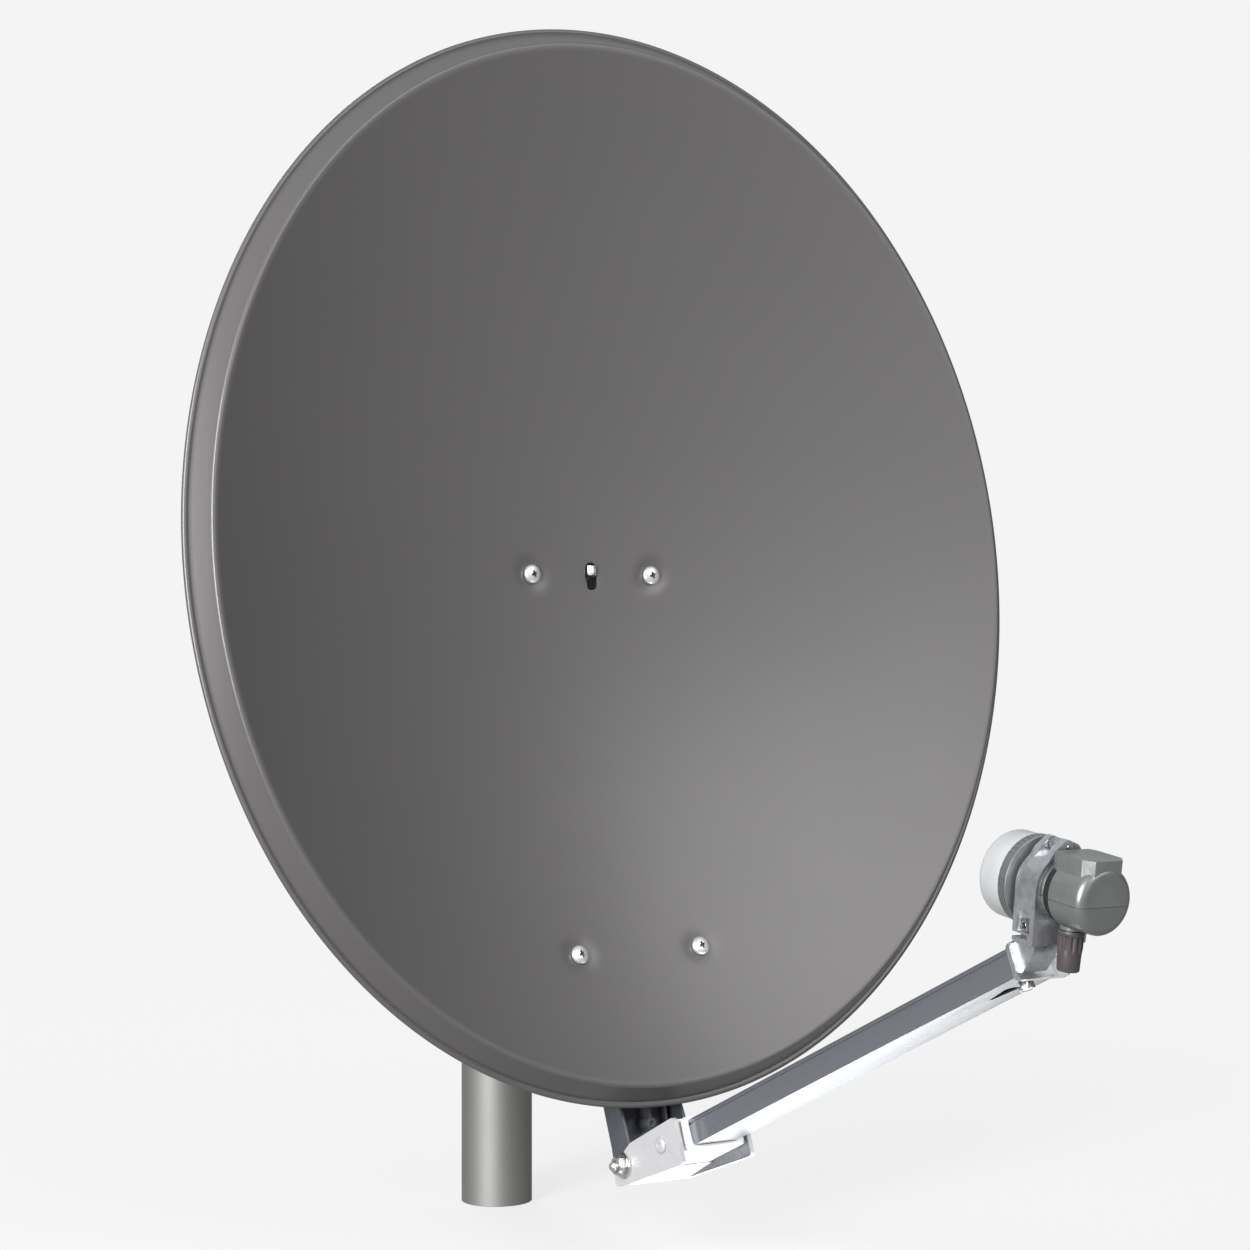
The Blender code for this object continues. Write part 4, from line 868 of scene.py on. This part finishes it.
def make_fork():
    corners = [(-0.0192, -0.0129), (0.0795, -0.0205), (0.0808, 0.0156), (0.0139, 0.0135), (-0.0135, 0.0040)]
    cheek = rounded(corners, 0.0038, 10)
    wide = CHEEK_X + CHEEK_T
    fork = plate([cheek], -wide, wide, ARM_SIDE)
    behind = [(-0.03, -0.03), (-0.0125, -0.03), (-0.0125, 0.03), (-0.03, 0.03)]
    above = [(-0.03, -0.0105), (-0.0125, -0.0117), (0.0255, -0.0090), (0.09, -0.0090), (0.09, 0.03),
             (-0.03, 0.03)]
    below = [(-0.0125, -0.0134), (0.0255, -0.0110), (0.0255, -0.0080), (0.09, -0.0080), (0.09, -0.03),
             (-0.0125, -0.03)]
    cut(fork, *[plate([room], -CHEEK_X, CHEEK_X, ARM_SIDE) for room in (behind, above, below)],
        rod(BOLT_R + PLAY, -0.05, 0.05, toward(ARM_PIVOT, X), 48),
        rod(SMALL_BORE, -0.05, 0.05, rivet_frame(), 32))
    soften(fork, 0.0009, 3)
    # The cheeks' inner faces get the dark surface: painted shade between the cheeks.
    shaded_inside = [face for face in fork.data.polygons
              if abs(face.center.x) < CHEEK_X + 0.0002 and abs(face.normal.x) > 0.9]
    finish_piece(fork, "fork_casting", "arm", PALE_CASTING, "arm_fork")
    repaint(fork, DARK_CASTING_AND_SHADE, shaded_inside)


def tube_outline(grow, radius=0.003):
    half_y = TUBE_HALF[1] + grow
    return rounded(oblong(TUBE_HALF[0] + grow, TUBE_V - half_y, TUBE_V + half_y), radius, 8)


def tube_profile():
    """The extrusion's outline: small corner radii and a shallow groove high on each side."""
    half_x, half_y = TUBE_HALF
    low = TUBE_V - half_y
    high = TUBE_V + half_y
    groove = high - 0.0042
    right = arc((half_x - 0.0015, low + 0.0015), 0.0015, -90.0, 0.0, 6)
    floor = half_x - 0.0008
    right += [(half_x, groove - 0.0010), (floor, groove - 0.0006), (floor, groove + 0.0005),
              (half_x, groove + 0.0009)]
    right += arc((half_x - 0.0022, high - 0.0022), 0.0022, 0.0, 90.0, 8)
    return with_mirror(right, -1, 1)


def make_arm():
    tube = plate([tube_profile(), tube_outline(-TUBE_WALL, 0.0018)], TUBE_START, TUBE_END, ARM)
    slot = arc((0.0, 0.4520), 0.0054, 0.0, 180.0, 24) + [(-0.0012, 0.4300), (0.0012, 0.4300)]
    cut(tube, plate([slot], 0.0, 0.02, ARM_BELOW), rod(SMALL_BORE, -0.006, 0.006, holder_bolt_frame(), 32),
        rod(SMALL_BORE, -0.03, 0.03, rivet_frame(), 32))
    finish_piece(tube, "arm_extrusion", "arm", ANODISED, "arm_tube")
    edge = rounded(oblong(CHEEK_X - GAP, -0.0100, 0.0145), 0.002, 6)
    collar = plate([edge, tube_outline(GAP)], COLLAR[0], COLLAR[1] - 0.0050, ARM)
    lip_edge = rounded(oblong(0.0252, -0.0098, 0.0143), 0.003, 6)
    join(collar, plate([lip_edge, tube_outline(GAP)], COLLAR[1] - 0.0060, COLLAR[1], ARM))
    cut(collar, rod(SMALL_BORE, -0.04, 0.04, rivet_frame(), 32))
    soften(collar, 0.0005)
    finish_piece(collar, "arm_insert", "arm", WHITE_PLASTIC, "arm_collar")
    reach = CHEEK_X + CHEEK_T + GAP
    button = [(0.0, 0.0004), (0.0012, 0.0005), (0.0017, 0.0017), (0.0030, 0.0023), (0.0048, 0.0020),
              (0.0060, 0.0012), (0.0066, 0.0003), (0.0066, 0.0), (0.0030, 0.0)]
    end = [(radius, reach + rise) for radius, rise in button]
    rivet = turned(with_mirror(end, 1, -1), rivet_frame(), 64, closed=False)
    finish_piece(rivet, "fork_rivet_turned", "arm", PALE_CASTING, "fork_rivet")
    bolt = hex_bolt(SMALL_BOLT_R, 0.010, 0.010, 0.0050, moved(holder_bolt_frame(), z=GAP))
    finish_piece(bolt, "holder_bolt_hex", "arm", BRIGHT_ZINC, "holder_bolt")
    right = toward(ARM_PIVOT + X * reach, X)
    bolt = hex_bolt(BOLT_R, 2 * reach + 0.0125, NUT_AF, 0.0053, right)
    finish_piece(bolt, "fold_bolt_hex", "arm", BRIGHT_ZINC, "fold_pivot_bolt")
    left = toward(ARM_PIVOT - X * reach, -X)
    bore = BOLT_R + THREAD_PLAY
    profile = [(0.0096, 0.0015), (0.0100, 0.0012), (0.0100, 0.0003), (0.0097, 0.0)]
    profile += [(bore, 0.0), (bore, 0.0015)]
    finish_piece(turned(profile, left, 64), "fold_washer_disc", "arm", BRIGHT_ZINC, "fold_pivot_washer")
    nut = hex_nut(bore, NUT_AF, NUT_T, moved(left, z=0.0018))
    finish_piece(nut, "fold_nut_hex", "arm", BRIGHT_ZINC, "fold_pivot_nut")


# Feed holder

def arch(side, inner, outer):
    split = SPLIT[0] if side < 0 else SPLIT[1]
    start = math.degrees(math.asin(split / inner))
    if side < 0:
        ring = arc((0.0, 0.0), outer, 90.0, 180.0, 30)
        block = [(-outer + 0.0006, BLOCK_LOW + 0.010), (-outer + 0.0010, BLOCK_LOW), (split, BLOCK_LOW)]
        block += [(split, BLOCK_LOW + 0.0060), (split - 0.0006, BLOCK_LOW + 0.0066),
                  (split, BLOCK_LOW + 0.0072)]
        bore = arc((0.0, 0.0), inner, -90.0 + start, -270.0, 60)
        return ring + block + bore
    ring = arc((0.0, 0.0), outer, 66.0, 0.0, 24)
    block = [(outer - 0.0006, BLOCK_LOW + 0.010), (outer - 0.0010, BLOCK_LOW), (split - 0.0010, BLOCK_LOW)]
    block += [(split - 0.0010, BLOCK_LOW + 0.0052), (split, BLOCK_LOW + 0.0062)]
    bore = arc((0.0, 0.0), inner, -90.0 + start, 66.0, 56)
    return ring + block + bore


def screw_across():
    return moved(FEED, y=SCREW_Y) @ SIDE


def make_holder():
    holder = plate([arch(-1, BORE_R, HOLDER_R)], -HOLDER_HALF, HOLDER_HALF, FEED)
    pin = (0.0, PIN_Y)
    knuckle = arc(pin, KNUCKLE_R, -60.0, 140.0, 28) + [(-0.0100, 0.0250), (-0.0165, 0.0160)]
    knuckle += [(-0.0146, 0.0150), (-0.0080, 0.0200), (-0.0010, 0.0214)]
    for limits in both_sides(KNUCKLE_Z + GAP, HOLDER_HALF - 0.0002):
        join(holder, plate([knuckle], *limits, FEED))
    neck = [(0.4865, -0.0065), (0.4895, -0.0062), (0.4925, -0.0048), (0.4960, -0.0032), (0.5000, -0.0008),
            (0.5040, 0.0022), (0.5070, 0.0048), (0.5095, 0.0085), (0.5105, 0.0108), (0.5000, 0.0180),
            (0.4865, 0.0130)]
    join(holder, plate([neck], -SPLIT[0], 0.0185, ARM_SIDE))
    flange = rounded(oblong(0.0230, -0.0110, 0.0152), 0.005)
    join(holder, plate([flange], TUBE_END + GAP, TUBE_END + 0.0042, ARM))
    half_x = TUBE_HALF[0] - TUBE_WALL - 0.0010
    half_y = TUBE_HALF[1] - TUBE_WALL - 0.0006
    tongue = box((-half_x, TUBE_V - half_y, TONGUE_START), (half_x, TUBE_V + half_y, TUBE_END + 0.001), ARM)
    join(holder, tongue)
    across = screw_across()
    recess = box((-0.030, SCREW_Y - 0.0045, -0.0062), (-0.0200, SCREW_Y + 0.0092, 0.0062), FEED)
    lip_slot = box((-0.030, BLOCK_LOW + 0.0028, -0.0120), (-0.0150, BLOCK_LOW + 0.0060, 0.0045), FEED)
    cut(holder, plate([circle(pin, KNUCKLE_R + 0.0006)], -KNUCKLE_Z - GAP, KNUCKLE_Z + GAP, FEED),
        rod(PIN_BORE, -0.02, 0.02, moved(FEED, y=PIN_Y), 32), recess, lip_slot,
        box((-0.0184, SCREW_Y - 0.0060, -0.0027), (0.0100, SCREW_Y + 0.0026, 0.0027), FEED),
        box((-0.030, SCREW_Y - 0.0044, -0.0044), (-0.0182, SCREW_Y + 0.0044, 0.0044), FEED),
        rod(0.0032, -0.0125, 0.001, holder_bolt_frame(), 32))
    soften(holder, 0.0005, 2, 42.0)
    finish_piece(holder, "holder_casting", "arm", RAW_CASTING, "feed_holder")
    end = [(0.0, 0.0106), (0.0008, 0.0106), (0.0014, 0.0101)]
    pin_piece = turned(with_mirror(end, 1, -1), moved(FEED, y=PIN_Y), 32,
                       closed=False)
    finish_piece(pin_piece, "hinge_pin_turned", "arm", BRIGHT_ZINC, "hinge_pin")
    square = rounded(oblong(0.0036, -0.0036, 0.0036), 0.0004, 3)
    nut = plate([square, circle((0, 0), 0.0020)], -0.0218, -0.0186, across)
    soften(nut, 0.0003)
    finish_piece(nut, "clamp_nut_square", "arm", BRIGHT_ZINC, "clamp_nut")


def make_jaw():
    jaw = plate([arch(1, BORE_R, HOLDER_R)], -HOLDER_HALF, HOLDER_HALF, FEED)
    pin = (0.0, PIN_Y)
    shoulder = [(0.0035, 0.0215), (0.0086, 0.0195), (0.0165, 0.0150), (0.0175, 0.0152), (0.0160, 0.0195),
                (0.0128, 0.0242), (0.0092, 0.0283), (0.0052, 0.0300)]
    step = HOLDER_HALF - 0.0004
    join(jaw, plate([shoulder], -step, step, FEED))
    clear = circle(pin, KNUCKLE_R + 0.0008)
    for limits in both_sides(KNUCKLE_Z - GAP, 0.02):
        cut(jaw, plate([clear], *limits, FEED))
    tongue = arc(pin, KNUCKLE_R - GAP, 0.0, 270.0, 32)
    tongue += [(0.0060, 0.0199), (0.0100, 0.0190), (0.0112, 0.0205)]
    join(jaw, plate([tongue], -KNUCKLE_Z + GAP, KNUCKLE_Z - GAP, FEED))
    across = screw_across()
    cut(jaw, rod(PIN_BORE, -0.02, 0.02, moved(FEED, y=PIN_Y), 32),
        rod(0.0024, -0.01, 0.04, across, 32), rod(BORE_R, -0.02, 0.02, FEED, FINE))
    soften(jaw, 0.0005, 2, 42.0)
    finish_piece(jaw, "jaw_casting", "jaw", RAW_CASTING, "holder_jaw")
    screw = hex_bolt(0.0020, HOLDER_R + 0.0168, 0.0070, 0.0035,
                     moved(across, z=HOLDER_R))
    finish_piece(screw, "clamp_screw_hex", "jaw", BRIGHT_ZINC, "clamp_screw")


# Converter

def shell_profile():
    """The converter body's outer and inner outline: neck with two grooves, step and rounded housing."""
    rear = arc((0.0165, 0.0440), 0.0060, 90.0, 0.0, 10)
    grooves = []
    for z in (0.0055, -0.0058):
        grooves += [(NECK_R, z + 0.0003), (NECK_R - 0.0005, z + 0.00015), (NECK_R - 0.0005, z - 0.00015),
                    (NECK_R, z - 0.0003)]
    outer = [(0.0, 0.0500)] + rear + [(0.0225, 0.0203), (0.0222, 0.0200), (0.0186, 0.0200), (0.0186, 0.0130),
                                      (NECK_R - 0.0003, 0.0130), (NECK_R, 0.0127)]
    inner = [(0.0170, -0.0120), (0.0170, 0.0200), (0.0208, 0.0220), (0.0208, 0.0440), (0.0180, 0.0480),
             (0.0, 0.0480)]
    return outer + grooves + [(NECK_R, -0.0117), (NECK_R - 0.0003, -0.0120)] + inner


def make_converter():
    plate_top = [(-0.0140, 0.0135), (0.0140, 0.0135), (0.0165, 0.0190), (0.0165, 0.0420), (0.0110, 0.0490),
                 (-0.0110, 0.0490), (-0.0165, 0.0420), (-0.0165, 0.0190)]
    top = axes(FEED_CENTRE, -X, FEED_BACK, FEED_UP)
    half = 0.06
    down = toward(FEED @ Vector((0.0, 0.0, BOOT_Z)), -FEED_UP)
    upper = turned(shell_profile(), FEED, closed=False)
    join(upper, plate([rounded(plate_top, 0.0010, 4)], 0.0150, 0.0262, top))
    band = [(0.0212, 0.0202), (0.0212, 0.0100), (0.0189, 0.0100), (0.0189, 0.0198)]
    cut(upper, rod(0.0206, 0.0221, 0.0440, FEED, FINE), rod(0.0168, -0.0200, 0.0224, FEED, FINE),
        turned(band, FEED), box((-half, -half, -0.1), (half, PARTING + GAP / 2, 0.1), FEED))
    soften(upper, 0.0004, 2, 30.0)
    finish_piece(upper, "body_upper", "converter", SILVER_PLASTIC, "converter_shell_upper", angle=28.0)
    lower = turned(shell_profile(), FEED, closed=False)
    cut(lower, box((-half, PARTING - GAP / 2, -0.1), (half, half, 0.1), FEED))
    join(lower, rod(BOSS_R, 0.0176, -BOSS_LOW, down, 64))
    finish_piece(lower, "body_lower", "converter", SILVER_PLASTIC, "converter_shell_lower", angle=28.0)
    band = turned(section(0.0189, 0.0206, 0.0134, 0.0196), FEED)
    cut(band, rod(BOSS_R + GAP, 0.0, 0.03, down, 48))
    finish_piece(band, "black_band", "converter", BLACK_PLASTIC, "band_seal")
    make_flange()
    make_cap()
    horn = [(0.0, 0.0420), (0.0155, 0.0420), (0.0155, -0.0240), (0.0250, -0.0360), (0.0238, -0.0366),
            (0.0140, -0.0245), (0.0140, 0.0400), (0.0, 0.0400)]
    finish_piece(turned(horn, FEED, closed=False), "horn_casting", "converter", RAW_CASTING,
                 "waveguide_horn")
    board = box((-0.0068, 0.0170, 0.0240), (0.0068, 0.0184, 0.0420), FEED)
    soften(board, 0.0002)
    finish_piece(board, "board_plate", "converter", BOARD, "circuit_board")


def make_flange():
    """The skew ring: ticks cut into its top, a parting line and three fine grooves round its lower side."""
    outer = 0.0300
    lip = 0.0005
    profile = [(outer, -0.0126 - lip), (outer, -0.0203 + lip), (outer - lip, -0.0203), (0.0172, -0.0203),
               (0.0172, -0.0126), (outer - lip, -0.0126)]
    ring = turned(profile, FEED)
    depth = 0.0007
    grooves = [turned(section(outer - depth, outer + 0.001, z - 0.0003, z + 0.0003), FEED)
               for z in (-0.0145, -0.0164, -0.0183)]
    keep = box((-0.04, 0.0035, -0.03), (0.04, 0.04, 0.0), FEED)
    cutter = gather(*grooves)
    cut(cutter, keep)
    cut(ring, cutter)
    plain = box((-0.04, -0.0031, -0.03), (0.04, -0.0027, 0.0), FEED)
    shave = turned(section(outer - 0.0004, 0.0400, -0.0230, -0.0100), FEED)
    change(plain, [shave], "INTERSECT")
    cut(ring, plain)
    pockets = []
    for turn in range(38, 145, 8):
        spin = FEED @ Matrix.Rotation(math.radians(turn), 4, "Z")
        low = -0.0198
        high = low + (0.0056 if turn % 24 == 14 else 0.0040)
        pockets.append(box((outer - 0.0006, -0.00095, low), (outer + 0.001, 0.00095, high), spin))
    cut(ring, gather(*pockets))
    finish_piece(ring, "skew_ring", "converter", SILVER_PLASTIC, "scale_flange", angle=28.0)


def make_cap():
    rim = [(0.0290 - 0.0050 * (1 - math.cos(a)), -0.0374 - 0.0046 * math.sin(a))
           for a in [math.radians(10.0 * i) for i in range(1, 10)]]
    outer = [(0.0278, -0.0210), (0.0290, -0.0210), (0.0292, -0.0214), (0.0291, -0.0300), (0.0290, -0.0374)]
    dome = [(0.0225, -0.0421), (0.0180, -0.0424), (0.0100, -0.0426), (0.0030, -0.0427)]
    nub = [(0.0012, -0.0427), (0.0010, -0.0432), (0.0006, -0.0432), (0.0004, -0.0429), (0.0, -0.0429)]
    inner = [(0.0, -0.0415), (0.0230, -0.0405), (0.0262, -0.0390), (0.0274, -0.0365)]
    cap = turned(inner + outer + rim + dome + nub, FEED, closed=False)
    finish_piece(cap, "front_cap", "converter", PALE_PLASTIC, "feed_cap", angle=32.0)
    seal = turned(section(0.0262, 0.0276, -0.0230, -0.0207), FEED)
    finish_piece(seal, "seal_ring", "converter", BLACK_PLASTIC, "cap_seal")


def make_connector():
    down = toward(FEED @ Vector((0.0, BOSS_LOW - GAP, BOOT_Z)), -FEED_UP)
    rings = [ring_of(0.0020, 0.0), hexagon(0.0090, 0.0, cap=0.0048), hexagon(0.0090, 0.0005),
             hexagon(0.0090, 0.0035), hexagon(0.0090, 0.0040, cap=0.0048), ring_of(0.0044, 0.0040)]
    z = 0.0048
    while z < 0.0145:
        rings += [ring_of(0.0047, z), ring_of(0.0042, z + 0.0003), ring_of(0.0047, z + 0.0006)]
        z += 0.0009
    rings += [ring_of(0.0045, 0.0150), ring_of(0.0030, 0.0150), ring_of(0.0030, 0.0090)]
    finish_piece(ring_loft(rings, down), "connector_turned", "converter", BRASS, "f_connector")
    make_boot(down)


def lobed(radius, z, depth):
    """A ring with twelve flutes."""
    return ring(lambda a: radius - depth * abs(math.cos(6 * a)) ** 3, z, 120, 0.0)


def make_boot(down):
    stations = [(0.0056, 0.0004, 0.0), (0.0058, 0.0002, 0.0), (0.0085, 0.0002, 0.0), (0.0087, 0.0005, 0.0),
                (0.0087, 0.0024, 0.0), (0.0085, 0.0030, 0.0), (0.0084, 0.0034, 0.0007),
                (0.0083, 0.0050, 0.0009), (0.0082, 0.0115, 0.0009), (0.0080, 0.0131, 0.0005),
                (0.0078, 0.0142, 0.0), (0.0076, 0.0180, 0.0), (0.0074, 0.0256, 0.0), (0.0072, 0.0264, 0.0),
                (0.0068, 0.0268, 0.0), (0.0058, 0.0268, 0.0), (0.0056, 0.0264, 0.0)]
    sleeve = ring_loft([lobed(*station) for station in stations], down, closed=True)
    finish_piece(sleeve, "boot_sleeve", "boot", BROWN_RUBBER, "weather_boot", angle=50.0)


# Assembly

make_mast()
make_saddle()
make_u_bolt("u_bolt_lower", UBOLT_Z[0])
make_u_bolt("u_bolt_upper", UBOLT_Z[1])
make_elevation_bolts()
make_reflector()
make_rear_frame()
make_hook()
make_foot()
make_fork()
make_arm()
make_holder()
make_jaw()
make_converter()
make_connector()


# Stage

BACKDROP = (0.905, 0.905, 0.905, 1.0)
# Each wall's direction, and the share of the way toward it where it starts and where it is darkest
DARK_WALLS = (((-0.54, 0.84, 0.05), 0.70, 0.93), ((0.88, -0.48, 0.0), 0.50, 0.86))


def area_light(name, location, target, size, power, colour, spread=180.0, shaded=()):
    """A soft light. The pieces in shaded get none of its light."""
    data = bpy.data.lights.new(name, "AREA")
    data.spread = math.radians(spread)
    data.shape = "RECTANGLE"
    data.size, data.size_y = size
    data.energy = power
    data.color = colour
    light = placed(name, data)
    light.location = location
    light.visible_camera = False
    light.rotation_euler = (Vector(location) - Vector(target)).to_track_quat("Z", "Y").to_euler()
    if shaded:
        left_out = bpy.data.collections.new(name + "_left_out")
        light.light_linking.receiver_collection = left_out
        for piece in shaded:
            left_out.objects.link(bpy.data.objects[piece])
        for entry in left_out.collection_objects:
            entry.light_linking.link_state = "EXCLUDE"


def floor_material():
    """A pale floor: it takes soft shadows near the object and runs into the backdrop further out."""
    pale = bpy.data.materials.new("floor_pale")
    pale.use_nodes = True
    tree = pale.node_tree
    shader = fill(tree.nodes["Principled BSDF"], {"Base Color": (0.86, 0.86, 0.86, 1.0), "Roughness": 0.9})
    rays = add_node(tree, "LightPath", "Is Camera Ray")
    bounce = add_node(tree, "MapRange", "Result", {"Value": rays, "To Min": 0.30})
    glow = add_node(tree, "Emission", "Emission", {"Color": BACKDROP, "Strength": bounce})
    far = add_node(tree, "VectorMath", "Value", {0: add_node(tree, "TexCoord", "Object")}, operation="LENGTH")
    fade = add_node(tree, "MapRange", "Result",
                    {"Value": far, "From Min": 0.10, "From Max": 1.6, "To Min": 0.80, "To Max": 1.0},
                    interpolation_type="SMOOTHSTEP")
    mix = add_node(tree, "MixShader", "Shader", {"Fac": fade, 1: shader.outputs["BSDF"], 2: glow})
    fill(tree.nodes["Material Output"], {"Surface": mix})
    return pale


def studio_world():
    """An even pale room with a dark wall at the back left and the right; the camera sees it pale."""
    world = bpy.data.worlds.new("studio")
    world.use_nodes = True
    tree = world.node_tree
    tree.nodes.clear()
    around = add_node(tree, "TexCoord", "Generated")
    walls = {}
    for number, (direction, start, end) in enumerate(DARK_WALLS):
        facing = add_node(tree, "VectorMath", "Value", {0: around, 1: direction}, operation="DOT_PRODUCT")
        walls[number] = add_node(tree, "MapRange", "Result",
                                 {"Value": facing, "From Min": start, "From Max": end, "To Min": 0.72,
                                  "To Max": 0.12}, interpolation_type="SMOOTHSTEP")
    both = add_node(tree, "Math", "Value", walls, operation="MULTIPLY")
    lit = add_node(tree, "Background", "Background", {"Color": (0.95, 0.97, 1.0, 1.0), "Strength": both})
    seen = add_node(tree, "Background", "Background", {"Color": BACKDROP})
    rays = add_node(tree, "LightPath", "Is Camera Ray")
    mix = add_node(tree, "MixShader", "Shader", {"Fac": rays, 1: lit, 2: seen})
    fill(tree.nodes.new("ShaderNodeOutputWorld"), {"Surface": mix})
    return world


def stage():
    bm = bmesh.new()
    bmesh.ops.create_grid(bm, x_segments=1, y_segments=1, size=30.0)
    floor = solid(bm, tidy=False)
    floor.name = "floor"
    floor.data.name = "floor"
    floor.data.materials.append(floor_material())
    bpy.context.scene.world = studio_world()
    target = (0.0, -0.30, 0.45)
    neutral = (1.0, 1.0, 1.0)
    mast = ("mast_pipe",)
    area_light("key", (-3.0, -1.9, 1.3), target, (1.2, 2.4), 200.0, neutral)
    area_light("fill", (0.95, -3.3, 2.35), target, (2.4, 1.9), 50.0, (1.0, 0.995, 0.99), shaded=mast)
    area_light("under", (0.18, -0.20, 0.012), (0.18, -0.20, 1.0), (0.36, 0.54), 2.4, (1.0, 1.0, 0.995),
               130.0, mast + ("dish_skin",))
    area_light("rear", (0.6, 2.4, 1.8), target, (1.6, 1.2), 30.0, neutral, shaded=mast)


def camera():
    data = bpy.data.cameras.new("camera")
    data.sensor_width = 36.0
    data.lens = 80.64
    data.clip_start = 0.05
    view = placed("camera", data)
    view.location = (-1.19807, -2.07069, 0.4905)
    view.rotation_euler = Vector((-0.5399, -0.8418, 0.0)).to_track_quat("Z", "Y").to_euler()
    bpy.context.scene.camera = view


stage()
camera()
bpy.context.scene.view_settings.view_transform = "Standard"
